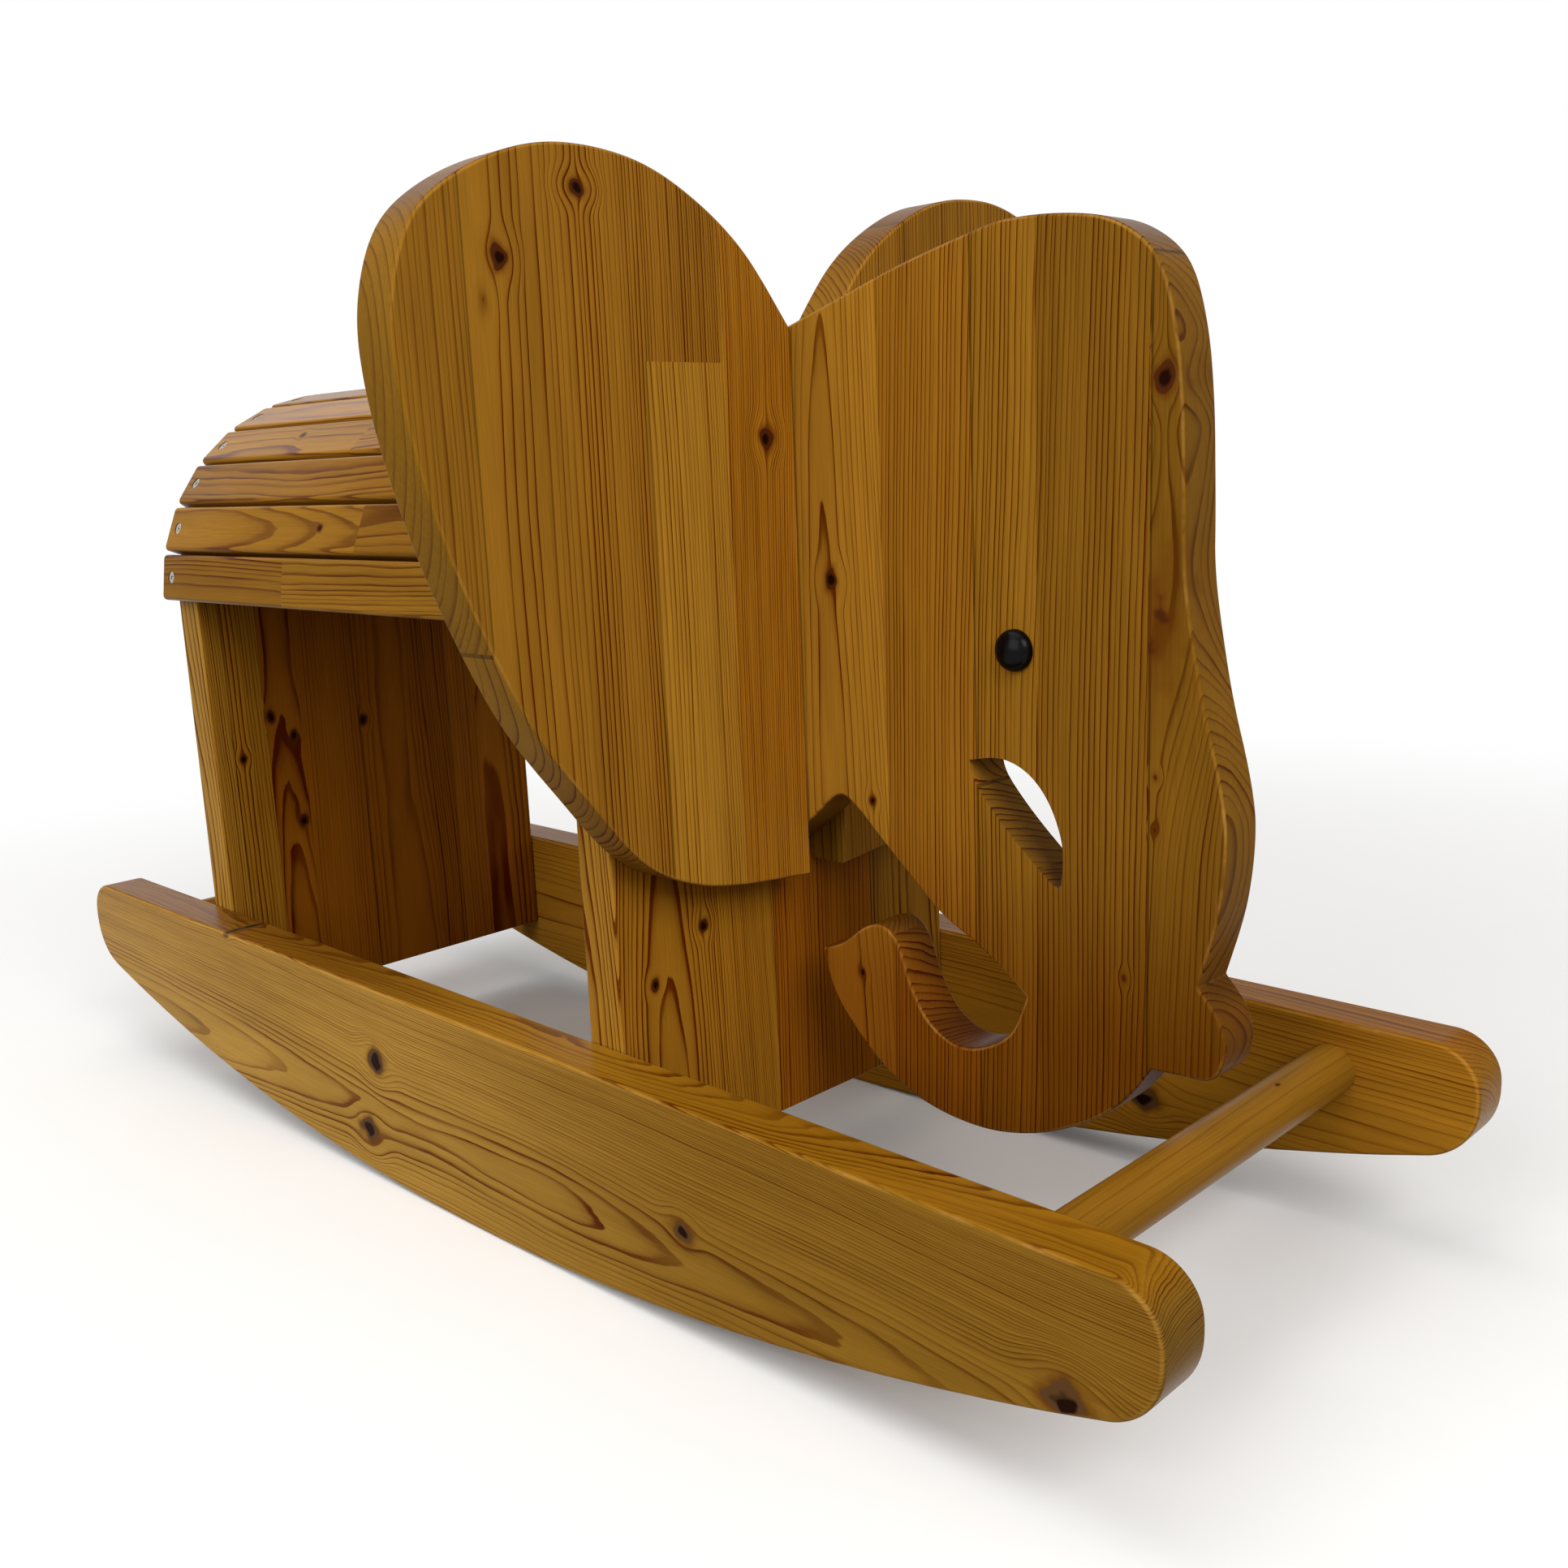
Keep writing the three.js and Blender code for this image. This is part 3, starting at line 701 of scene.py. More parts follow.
def new_material(name):
    """An empty material, its tree, and the outputs that say where a place is."""
    material = bpy.data.materials.new(name)
    material.use_nodes = True
    tree = material.node_tree
    tree.nodes.clear()
    return material, tree, add(tree, "TexCoord").outputs


def above_finger_joint(tree, across, up, height, centre, half, reach):
    """Where a place counts as lying across the board, if a stave is jointed to a wider one."""
    above = add(tree, "Math", {0: up, 1: height}, operation="GREATER_THAN")
    beside = add(tree, "Math", {0: across, 1: centre, 2: half}, operation="COMPARE")
    there = add(tree, "Math", {0: above, 1: beside}, operation="MULTIPLY")
    return add(tree, "Math", {0: there, 1: -reach, 2: across}, operation="MULTIPLY_ADD")


# A colour ramp holds each stave's pith as a share of this range in mm about zero, its year's
# width as a share of the widest, its tone as a share of the lightest, and its seed from 0 to 1.
PITH_SPAN, WIDEST_YEAR, TONE_ROOM, SEEDS = 1200, 20, 3, 40
# The width in mm of the glue that shows between two staves.
GLUE_LINE = 0.6


def stave_stops(staves, left, right):
    """The ramp stops with each stave's pith, year and marking, and with its tone and seed."""
    starts = [0] + [(edge - left) / (right - left) for edge, *_ in staves[:-1]]
    pith_stops, tone_stops = [], []
    for start, (_, side, through, year, mark, tone, seed) in zip(starts, staves):
        pith_stops.append(
            (start, (side / PITH_SPAN + 0.5, through / PITH_SPAN + 0.5, year / WIDEST_YEAR, mark))
        )
        # A hair of dark glue shows at each joint.
        if start:
            tone_stops.append((start, (*[t / TONE_ROOM / 2 for t in tone], seed)))
            start += GLUE_LINE / (right - left)
        tone_stops.append((start, (*[t / TONE_ROOM for t in tone], seed)))
    return pith_stops, tone_stops


def grain_past_knots(tree, place, across, edges, along, knots):
    """How far all knots push the grain aside, and how deep inside a knot a place is."""
    push, depth = (0, 0, 0), None
    if not knots:
        return push, depth
    ragged = add(tree, "TexNoise", {"Vector": place, "Scale": 0.09, "Detail": 1.5})
    wobble = add(
        tree, "VectorMath", {0: ragged.outputs["Color"], 1: (1.6, 0, 1.6), 2: (-0.8, 0, -0.8)},
        operation="MULTIPLY_ADD",
    )
    for side, up, radius, stretch, strength in knots:
        # The glue lines cut a knot off, and the grain beyond them runs straight.
        at = up if along else side
        start, end = next(pair for pair in zip(edges, edges[1:]) if at <= pair[1])
        within = add(
            tree, "Math", {0: across, 1: (start + end) / 2, 2: (end - start) / 2},
            operation="COMPARE",
        )
        knot = add(
            tree, "Group",
            {"Place": place, "Knot": (side, 0, up), "Radius": (radius, 1, radius * stretch),
             "Wobble": wobble, "Strength": strength, "Within": within},
            node_tree=knot_flow(),
        )
        push = add(tree, "VectorMath", {0: push, 1: knot.outputs["Push"]})
        if depth is None:
            depth = knot.outputs["Depth"]
        else:
            depth = add(tree, "Math", {0: depth, 1: knot.outputs["Depth"]}, operation="MAXIMUM")
    return push, depth


def along_board(tree, split, begin, full):
    """How far a place lies on the way along the grain from one height to another, 0 to 1."""
    return add(
        tree, "MapRange", {"Value": split.outputs["Z"], "From Min": begin, "From Max": full},
        interpolation_type="SMOOTHSTEP",
    )


def satin_lacquer(tree, colour, height, roughness, sheen):
    """Satin lacquer that shows the fibres: a colour's shader, and the gloss at a glance."""
    bump = add(tree, "Bump", {"Strength": 0.25, "Distance": 0.05 * MM, "Height": height})
    # The dense lines of latewood take a higher polish than the early wood.
    satin = add(
        tree, "MapRange",
        {"Value": height, "From Min": 0.3, "From Max": 1.1, "To Min": roughness + 0.06,
         "To Max": roughness - 0.08},
    )
    # Satin lacquer: hardly any gloss where it is seen from the front, more at a glance.
    # The level in the socket is for programs that don't follow the link.
    glance = add(tree, "Fresnel", {"IOR": 1.5})
    gloss = add(
        tree, "MapRange",
        {"Value": glance, "From Min": 0.12, "From Max": 0.35, "To Min": 0.015, "To Max": sheen},
    )
    lacquered = add(
        tree, "BsdfPrincipled",
        {"Base Color": colour, "Normal": bump, "Roughness": satin, "IOR": 1.5,
         "Specular IOR Level": 0.04},
    )
    tree.links.new(gloss.outputs[0], lacquered.inputs["Specular IOR Level"])
    return lacquered


def pine(name, grain, left, right, staves, knots=(), taper=0.012, waver=1.0, along=False,
         finger=None, painted_shade=None, heart=None, sheen=0.06,
         cut=(0.48, 0.45, 0.5), edge=(1, 1, 1), far_edge_shade=None):
    """Pine board, planed, sanded and clear-lacquered: amber early wood, brown growth lines.

    Grain is the matrix of the wood's own axes: x across, y through, z along the grain. Each
    stave gives the place of its far edge in mm, its pith across and through, its year's
    width, how strong its lines are, its tone and its seed. Each knot gives its place across
    and along, its radius, how much longer than wide it is, and how dark it is. Finger is the
    height of a finger joint, the middle and half the width of the stave below it, and how far
    the stave above it reaches over. The painted shade ramp is where a painted darkening along
    the board begins and where it is full, and its tone. Heart is the colour inside the knots,
    sheen the gloss at a glancing look, and cut and edge the tones of the board's ends and
    edges; the edge tone is painted shade and painted sheen on the edge faces, beside the look
    of edge grain. The far edge ramp is where the edge's painted shade begins to change along
    the board, where it has changed, and what it is then.
    """
    finish = bpy.context.scene.elephant_finish
    material, tree, here = new_material(name)
    world = STANCE @ grain
    place = add(
        tree, "Mapping",
        {"Vector": here["Object"], "Location": world.translation,
         "Rotation": world.to_euler("XYZ"), "Scale": (MM, MM, MM)},
        vector_type="TEXTURE",
    )
    split = add(tree, "SeparateXYZ", {0: place})
    across = split.outputs["Z" if along else "X"]
    if finger:
        across = above_finger_joint(tree, across, split.outputs["Z"], *finger)
    fraction = add(tree, "MapRange", {"Value": across, "From Min": left, "From Max": right})
    pith_stops, tone_stops = stave_stops(staves, left, right)
    coded = add(tree, "ValToRGB", {0: fraction}, stops=pith_stops, between="CONSTANT")
    tones = add(tree, "ValToRGB", {0: fraction}, stops=tone_stops, between="CONSTANT")
    pith = add(
        tree, "VectorMath",
        {0: coded, 1: (PITH_SPAN, PITH_SPAN, WIDEST_YEAR), 2: (-PITH_SPAN / 2, -PITH_SPAN / 2, 0)},
        operation="MULTIPLY_ADD",
    )
    seed = add(tree, "Math", {0: tones.outputs["Alpha"], 1: SEEDS}, operation="MULTIPLY")
    edges = [left] + [stave[0] for stave in staves]
    push, depth = grain_past_knots(tree, place, across, edges, along, knots)
    figure = add(
        tree, "Group",
        {"Place": place, "Pith": pith, "Push": push, "Taper": taper, "Waver": waver, "Seed": seed},
        node_tree=pine_figure(),
    )
    late = add(
        tree, "Math", {0: figure.outputs["Late"], 1: coded.outputs["Alpha"]}, operation="MULTIPLY"
    )
    wood = add(
        tree, "Mix", {0: late, 6: (*finish.early_wood, 1), 7: (*finish.late_wood, 1)},
        data_type="RGBA",
    )
    toned = add(tree, "VectorMath", {0: wood, 1: tones}, operation="MULTIPLY")
    # The tones come as shares of the lightest, and get back their size, give or take a tenth.
    level = add(
        tree, "MapRange",
        {"Value": figure.outputs["Cloud"], "From Min": 0.3, "From Max": 0.7,
         "To Min": 0.9 * TONE_ROOM, "To Max": 1.1 * TONE_ROOM},
    )
    clouded = add(tree, "VectorMath", {0: toned, "Scale": level}, operation="SCALE")
    # Painted shade: the board darkens along its length towards one end.
    if painted_shade:
        *way, tone = painted_shade
        clouded = add(
            tree, "Mix", {0: along_board(tree, split, *way), 6: clouded, 7: (*tone, 1)},
            data_type="RGBA", blend_type="MULTIPLY",
        )
    fibre = add(
        tree, "MapRange",
        {"Value": figure.outputs["Fibre"], "From Min": 0.3, "From Max": 0.7, "To Min": 0.88,
         "To Max": 1.12},
    )
    fibred = add(tree, "VectorMath", {0: clouded, "Scale": fibre}, operation="SCALE")
    edge = (*edge, 1)
    # The edge's painted shade changes along the board.
    if far_edge_shade:
        *way, tone = far_edge_shade
        edge = add(
            tree, "Mix", {0: along_board(tree, split, *way), 6: edge, 7: (*tone, 1)},
            data_type="RGBA",
        )
    colour = fibred
    # Cut ends drink more lacquer and look darker and greyer. Edges show the rings from the side,
    # and their tone also paints shade and sheen onto the edge faces.
    for axis, tone in ((UP, (*cut, 1)), (Vector((1, 0, 0)), edge)):
        facing = add(
            tree, "VectorMath", {0: here["Normal"], 1: world.to_3x3().normalized() @ axis},
            operation="DOT_PRODUCT",
        )
        turned = add(tree, "Math", {0: facing}, operation="ABSOLUTE")
        share = add(
            tree, "MapRange", {"Value": turned, "From Min": 0.45, "From Max": 0.9},
            interpolation_type="SMOOTHSTEP",
        )
        colour = add(
            tree, "Mix", {0: share, 6: colour, 7: tone}, data_type="RGBA", blend_type="MULTIPLY"
        )
    if depth is not None:
        stain, rim, heart = (
            tuple(c) for c in (finish.knot_stain, finish.knot_rim, heart or finish.knot_heart)
        )
        inside = add(
            tree, "ValToRGB", {0: depth},
            stops=[
                (0, (*stain, 0)), (0.2, (*stain, 0.15)), (0.42, (*stain, 0.65)),
                (0.47, (*heart, 1)), (0.62, (*heart, 1)), (0.74, (*rim, 1)),
            ],
        )
        colour = add(
            tree, "Mix", {0: inside.outputs["Alpha"], 6: colour, 7: inside}, data_type="RGBA"
        )
    # The rounded edges show wear, with thin lacquer and paler wood, and the same paleness is a
    # painted highlight along the round-overs.
    worn = add(tree, "Attribute", attribute_name="worn").outputs["Fac"]
    scuffs_and_glints = add(tree, "TexNoise", {"Vector": place, "Scale": 0.03, "Detail": 4, "Roughness": 0.7})
    patchy = add(
        tree, "MapRange",
        {"Value": scuffs_and_glints, "From Min": 0.44, "From Max": 0.7, "To Min": 0, "To Max": 0.6},
    )
    rubbed_and_highlit = add(tree, "Math", {0: worn, 1: patchy}, operation="MULTIPLY")
    colour = add(
        tree, "Mix", {0: rubbed_and_highlit, 6: colour, 7: (*finish.rubbed_edge_highlight, 1)}, data_type="RGBA"
    )
    height = add(
        tree, "Math", {0: late, 1: 0.5, 2: figure.outputs["Fibre"]}, operation="MULTIPLY_ADD"
    )
    lacquered = satin_lacquer(tree, colour, height, finish.lacquer_roughness, sheen)
    add(tree, "OutputMaterial", {0: lacquered})
    return material


def zinc_plated_steel():
    """Zinc-plated steel, pressed: bright grey, with a faint mottle and soft highlights."""
    name = "zinc-plated steel, cold-formed"
    if name in bpy.data.materials:
        return bpy.data.materials[name]
    material, tree, here = new_material(name)
    mottle = add(tree, "TexNoise", {"Vector": here["Object"], "Scale": 900, "Detail": 3})
    colour = add(
        tree, "ValToRGB", {0: mottle}, stops=[(0.3, linear("9A9892")), (0.7, linear("C9C7C0"))]
    )
    satin = add(tree, "MapRange", {"Value": mottle, "To Min": 0.22, "To Max": 0.45})
    steel = add(tree, "BsdfPrincipled", {"Metallic": 1, "Base Color": colour, "Roughness": satin})
    add(tree, "OutputMaterial", {0: steel})
    return material


def black_enamel():
    """Turned beech, dipped in black enamel: a soft highlight and the slightest orange peel."""
    material, tree, here = new_material("black enamel, dipped")
    dust = add(tree, "TexNoise", {"Vector": here["Object"], "Scale": 400, "Detail": 4})
    colour = add(
        tree, "ValToRGB", {0: dust}, stops=[(0.35, linear("040404")), (0.75, linear("0B0B0B"))]
    )
    satin = add(tree, "MapRange", {"Value": dust, "To Min": 0.16, "To Max": 0.3})
    peel = add(tree, "TexNoise", {"Vector": here["Object"], "Scale": 1500, "Detail": 1})
    bump = add(tree, "Bump", {"Strength": 0.15, "Distance": 0.05 * MM, "Height": peel})
    enamel = add(
        tree, "BsdfPrincipled",
        {"Base Color": colour, "Roughness": satin, "Normal": bump, "IOR": 1.5,
         "Specular IOR Level": 0.08},
    )
    add(tree, "OutputMaterial", {0: enamel})
    return material


def turned_beech():
    """Beech, turned: pale pink-brown with short dark rays."""
    material, tree, here = new_material("beech, turned")
    rays = add(tree, "Mapping", {"Vector": here["Object"], "Scale": (900, 160, 900)})
    noise = add(tree, "TexNoise", {"Vector": rays, "Scale": 1})
    colour = add(
        tree, "ValToRGB", {0: noise}, stops=[(0.35, linear("C39A66")), (0.7, linear("DAB888"))]
    )
    beech = add(tree, "BsdfPrincipled", {"Base Color": colour, "Roughness": 0.6})
    add(tree, "OutputMaterial", {0: beech})
    return material


# The wood's axes in a flat layout: grain up the board, or grain along it.
GRAIN_UP = spin(-90, "X")
GRAIN_ALONG = Matrix(((0, 0, 1), (1, 0, 0), (0, 1, 0))).to_4x4()

# Tones that staves take, as multipliers of the pine's own colour.
AMBER, HONEY, PALE = (1, 1, 1), (1.18, 1.24, 1.3), (1.3, 1.42, 1.55)
# The pale straw tone is partly painted sheen: its pallor and strong blue stand in for the
# lacquer's glance on the rocker's face.
STRAW_AND_SHEEN, WARM, RUDDY = (1.25, 1.55, 3), (1.15, 1.12, 0.9), (1.2, 1.12, 0.85)
GINGER, RUST, RED = (0.95, 0.91, 0.82), (1.12, 0.84, 0.6), (0.9, 0.64, 0.34)
OLIVE, BROWN, DUN, DARK = (0.84, 0.87, 0.8), (0.86, 0.86, 0.85), (0.7, 0.7, 0.62), (0.6, 0.6, 0.52)


# The pieces.

SLATS = 13
# The share of a full turn that spreads the slats' luck evenly.
GOLDEN_SHARE = 0.381966
SOCKET_FIT = 0.08 * MM
PANEL_HALF = 12.5 * MM
SCREW_SINK = 0.4 * MM
# No two neighbouring screws stop at the same turn, in radians.
STOPPED_APART = 0.7
# The cutters of the screws' seats stand this far out of the wood, so that they cut clean.
CLEAR_RISE = 2 * MM
FORWARD_SCREWS = [
    "head_lower_screw", "head_upper_screw", "right_ear_lower_screw", "right_ear_upper_screw",
    "left_ear_lower_screw", "left_ear_upper_screw",
]


class ELEPHANT_OT_rockers(bpy.types.Operator):
    """Cut the two rockers and house the bars in them"""

    bl_idname = "elephant.rockers"
    bl_label = "Rockers"

    def execute(self, context):
        sizes = context.scene.elephant_sizes
        figures = {
            "right": (
                [(116, 41, -14, 1.5, 0.65, STRAW_AND_SHEEN, 0.36)],
                [(71.5, -62.3, 6.5, 1.2, 1), (26.3, -74.6, 7, 1.2, 1),
                 (54.9, 191.3, 5, 1.2, 0.95), (58, 396, 8, 1.2, 1),
                 (113.7, -229.9, 2.4, 1.5, 0.9)],
                # Painted shade darkens the right rocker towards its front.
                (-60, 240, (0.62, 0.56, 0.36)),
                # Painted shade on the rocker's top and bottom edges, less of it towards the front.
                (0.5, 0.36, 0.13), (-140, 130, (0.96, 0.84, 0.38)),
            ),
            "left": (
                [(116, 62, 22, 2.0, 0.7, WARM, 0.77)],
                [(46, 260.2, 6.5, 1.2, 1), (80, -160, 5, 1.3, 1)],
                # Painted shade on the left rocker's top and bottom edges.
                None, (0.7, 0.62, 0.42), None,
            ),
        }
        for side, (staves, knots, painted_shade, edge, far_edge_shade) in figures.items():
            node = f"{side}_rocker"
            rocker, place = outline_board(node, True, sizes.rocker_round, sizes.round_steps)
            sockets = []
            for bar in ("front_crossbar", "rear_crossbar"):
                low, high = level_box(bar)
                at = Matrix.Translation((low + high) / 2) @ spin(90, "X")
                radius = (high.x - low.x) / 2 + SOCKET_FIT
                sockets.append(cylinder(radius, high.y - low.y, place.inverted() @ at))
            carve(rocker, sockets)
            soften(rocker)
            wood = pine(
                f"pine plank, {side} rocker", place @ GRAIN_ALONG, 0, 116, staves, knots,
                taper=0.02, waver=1.1, painted_shade=painted_shade, heart=linear("5A3E22"), sheen=0.15,
                cut=(0.74, 0.76, 0.85), edge=edge, far_edge_shade=far_edge_shade,
            )
            finish_piece(rocker, f"{side}_rocker_plank", node, wood, place)
        return {"FINISHED"}


class ELEPHANT_OT_crossbars(bpy.types.Operator):
    """Turn the two round bars"""

    bl_idname = "elephant.crossbars"
    bl_label = "Crossbars"

    def execute(self, context):
        for side, seed in (("front", 0.4), ("rear", 0.8)):
            node = f"{side}_crossbar"
            low, high = level_box(node)
            length = high.y - low.y
            bar = cylinder((high.x - low.x) / 2, length, Matrix.Identity(4))
            edit(bar)
            pick_level(bar, -length / 2, length / 2)
            bevel(1 * MM, 2)
            close_edit(bar)
            soften(bar)
            place = Matrix.Translation((low + high) / 2) @ spin(-90, "X")
            wood = pine(
                f"pine dowel rod, {side}", place, -20, 20, [(20, 40, 52, 7, 0.35, DUN, seed)],
                [(3, 62, 1, 2, 0.8)] if side == "front" else (), taper=0.01, sheen=0.2,
            )
            finish_piece(bar, f"{side}_bar", node, wood, place)
        return {"FINISHED"}


def forward_cutters(place, sizes):
    """The countersinks of the screws that run forward through the front panel."""
    cutters = []
    for node in FORWARD_SCREWS:
        cutter = turn_screw(sizes.screw_head / 2, grow=0.12 * MM, rise=CLEAR_RISE)
        cutter.data.transform(place.inverted() @ screw_place(node))
        cutters.append(cutter)
    return cutters


def screw_place(node):
    """Where a forward screw's head sits, and which way it points."""
    low, high = level_box(node)
    centre = (low + high) / 2
    return Matrix.Translation((low.x, centre.y, centre.z)) @ spin(-90, "Y")


class ELEPHANT_OT_leg_panels(bpy.types.Operator):
    """Cut the two arched leg panels"""

    bl_idname = "elephant.leg_panels"
    bl_label = "Leg panels"

    def execute(self, context):
        sizes = context.scene.elephant_sizes
        figures = {
            "front": (
                [(-17, -90, 17, 1.4, 1, WARM, 0.12), (60, 170, 60, 9, 0.9, RED, 0.55),
                 (124, 100, 50, 1.8, 1, BROWN, 0.9)],
                [(-65.5, 163.8, 3, 1.3, 1), (-98.8, 141.9, 2.8, 1.3, 0.95),
                 (40, 300, 4, 1.3, 1)],
            ),
            "rear": (
                [(-108.5, -300, 60, 6, 0.9, HONEY, 0.2), (-85, -150, 60, 3, 0.9, WARM, 0.28),
                 (-60, -72, 40, 1.6, 1, RED, 0.43), (-16.5, 160, 60, 9, 0.5, RED, 0.5),
                 (36, 10, 50, 2, 0.8, RED, 0.62), (56, -60, 40, 5, 1, RED, 0.66),
                 (78.5, 160, 60, 5, 0.7, RUST, 0.7), (124, 90, 45, 2, 0.8, RUST, 0.74)],
                [(-80.6, 236.8, 3.2, 1.3, 1), (-65.5, 221.4, 3.2, 1.4, 1),
                 (-102.4, 212, 2.6, 1.2, 1), (-12.9, 225.2, 3.2, 1.2, 1),
                 (-64.3, 163.6, 3.2, 1.5, 1)],
            ),
        }
        for side, (staves, knots) in figures.items():
            node = f"{side}_leg_panel"
            panel, place = outline_board(node, False, sizes.board_round, sizes.round_steps)
            if side == "front":
                carve(panel, forward_cutters(place, sizes))
            soften(panel)
            wood = pine(
                f"pine, edge-glued, {side} panel", place @ GRAIN_UP, -124, 124, staves, knots,
                # Paler, bluer side edges: painted sheen.
                sheen=0.15, edge=(1, 1.15, 1.8),
            )
            finish_piece(panel, f"{side}_panel_board", node, wood, place)
        return {"FINISHED"}


def mill_slat(length, width, thickness, sizes):
    """One slat with its inner face at zero: a block whose corners and edges are rounded."""
    slat = primitive("cube", size=1)
    lift = Matrix.Translation((0, 0, thickness / 2))
    slat.data.transform(lift @ Matrix.Diagonal((length, width, thickness, 1)))
    edit(slat)
    pick(slat, "edges", lambda e: abs(e.verts[0].co.z - e.verts[1].co.z) > thickness / 2)
    bevel(sizes.slat_corner, 5)
    for z, radius, steps in ((thickness, sizes.slat_round, sizes.round_steps), (0, 1 * MM, 2)):
        bpy.ops.mesh.select_all(action="DESELECT")
        pick_level(slat, z)
        bevel(radius, steps, clamp=False)
    close_edit(slat)
    return slat


def slat_turn(number):
    """Where a slat lies on the arch: its inner face at zero, its length along x."""
    low, high = level_box("seat_slat_07")
    first = sum(level_box("seat_slat_01"), Vector()) / 2
    last = sum(level_box(f"seat_slat_{SLATS}"), Vector()) / 2
    radius_to_middle = (last.y - first.y) / 2
    drop = (low.z + high.z) / 2 - (first.z + last.z) / 2
    # The first slat's middle lies on the same circle, a known height below the top one's.
    radius = (radius_to_middle**2 + drop**2) / (2 * drop)
    half_sweep = math.atan2(radius_to_middle, radius - drop)
    angle = half_sweep * (1 - 2 * number / (SLATS - 1))
    centre_z = (low.z + high.z) / 2 - radius
    middle_x = (low.x + high.x) / 2
    inner = radius - (high.z - low.z) / 2
    return (
        Matrix.Translation((middle_x, 0, centre_z))
        @ Matrix.Rotation(angle, 4, "X")
        @ Matrix.Translation((0, 0, inner))
    )


class ELEPHANT_OT_saddle(bpy.types.Operator):
    """Mill the slats and lay them over the arches"""

    bl_idname = "elephant.saddle"
    bl_label = "Saddle"

    def execute(self, context):
        sizes = context.scene.elephant_sizes
        low, high = level_box("seat_slat_07")
        length, width, thickness = high - low
        slat = mill_slat(length, width, thickness, sizes)
        for end in (-1, 1):
            hole = turn_screw(sizes.screw_head / 2, grow=0.15 * MM, rise=CLEAR_RISE)
            reach = end * (length / 2 - PANEL_HALF)
            hole.data.transform(Matrix.Translation((reach, 0, thickness - SCREW_SINK)))
            carve(slat, [hole])
        soften(slat)
        for number in range(SLATS):
            node = f"seat_slat_{number + 1:02d}"
            place = slat_turn(number)
            luck = (number * GOLDEN_SHARE) % 1
            seed = round(0.07 + 0.86 * luck, 3)
            tones = [DUN, OLIVE, DUN, OLIVE, BROWN]
            parts = [
                (-60 + 200 * luck, 44 * luck - 20, -20 - 30 * luck, 1.7, 0.8,
                 tones[number % 5], seed),
                (220, 30 - 60 * luck, -34, 1.9, 0.8, tones[(number + 1) % 5], 1 - seed),
            ]
            knots = [(6 - 14 * luck, -150 + 330 * luck, 2.4, 1.3, 0.95)] if number % 2 else ()
            wood = pine(
                f"pine slat {number + 1:02d}", place @ GRAIN_ALONG, -220, 220, parts, knots,
                taper=0.01, along=True, sheen=0.34,
            )
            piece = twin(slat)
            finish_piece(piece, f"saddle_slat_{number + 1:02d}", node, wood, place)
        bpy.data.objects.remove(slat)
        return {"FINISHED"}


class ELEPHANT_OT_screws(bpy.types.Operator):
    """Make the countersunk screws of the slats, the head and the ears"""

    bl_idname = "elephant.screws"
    bl_label = "Screws"

    def execute(self, context):
        sizes = context.scene.elephant_sizes
        steel = zinc_plated_steel()
        screw = turn_screw(sizes.screw_head / 2, grow=0, rise=0)
        edit(screw)
        pick_level(screw, 0)
        bevel(0.15 * MM, 2)
        close_edit(screw)
        carve(screw, [cross_cutter(sizes.recess, 1.7 * MM)])
        soften(screw, 40)
        places = {node: screw_place(node) for node in FORWARD_SCREWS}
        low, high = level_box("seat_slat_07")
        length, _, thickness = high - low
        for number in range(SLATS):
            for side, end in (("front", 1), ("rear", -1)):
                reach = end * (length / 2 - PANEL_HALF)
                driven = Matrix.Rotation(number * STOPPED_APART + end, 4, "Z")
                head = Matrix.Translation((reach, 0, thickness - SCREW_SINK)) @ driven
                places[f"{side}_slat_screw_{number + 1:02d}"] = slat_turn(number) @ head
        for node, place in places.items():
            piece = twin(screw)
            finish_piece(piece, f"{node}_steel", node, steel, place)
        bpy.data.objects.remove(screw)
        return {"FINISHED"}


class ELEPHANT_OT_head(bpy.types.Operator):
    """Cut the head plate with its trunk and mouth"""

    bl_idname = "elephant.head"
    bl_label = "Head"

    def execute(self, context):
        sizes = context.scene.elephant_sizes
        head, place = outline_board("head_plate", True, sizes.board_round, sizes.round_steps)
        low, high = level_box("head_plate")
        thickness = high.y - low.y
        mouth = smooth_ring(rings_at("head_plate", place, thickness / 2)[1], 2 * MM, 0, 0)
        rim = {(round(p.x, 5), round(p.y, 5)) for p in mouth}
        carve(head, [saw_board(mouth, thickness * 1.4)])
        edit(head)
        pick(
            head, "edges",
            lambda e: abs(abs(e.verts[0].co.z) - thickness / 2) < HAIR
            and abs(e.verts[0].co.z - e.verts[1].co.z) < HAIR
            and all((round(v.co.x, 5), round(v.co.y, 5)) in rim for v in e.verts),
        )
        bevel(sizes.mouth_ease, 2)
        close_edit(head)
        soften(head)
        staves = [
            (200, 166, -26, 2, 0.7, HONEY, 0.18), (253, 520, -60, 15, 1, GINGER, 0.52),
            (287, 520, -60, 14, 1, OLIVE, 0.52), (342, 540, -60, 12.5, 1, DUN, 0.35),
            (385, 436, -26, 4.4, 0.65, DARK, 0.81),
        ]
        knots = [
            (168.6, 331.7, 4.4, 1.2, 1), (190.5, 226, 2.2, 1.3, 0.9),
            (349, 415, 5, 1.3, 1), (346, 322, 13, 2.4, 0.5),
            (180.6, 136.4, 2, 1.4, 0.95), (331.7, 165, 1.6, 1.6, 0.7),
            (346, 255, 1.6, 1.4, 0.6), (346, 233, 1.6, 1.4, 0.6),
        ]
        wood = pine(
            "pine, edge-glued, head", place @ GRAIN_UP, 120, 385, staves, knots, taper=0.03,
            # Painted shade darkens the head towards its bottom.
            painted_shade=(240, 120, (0.63, 0.45, 0.32)),
        )
        finish_piece(head, "head_board", "head_plate", wood, place)
        return {"FINISHED"}


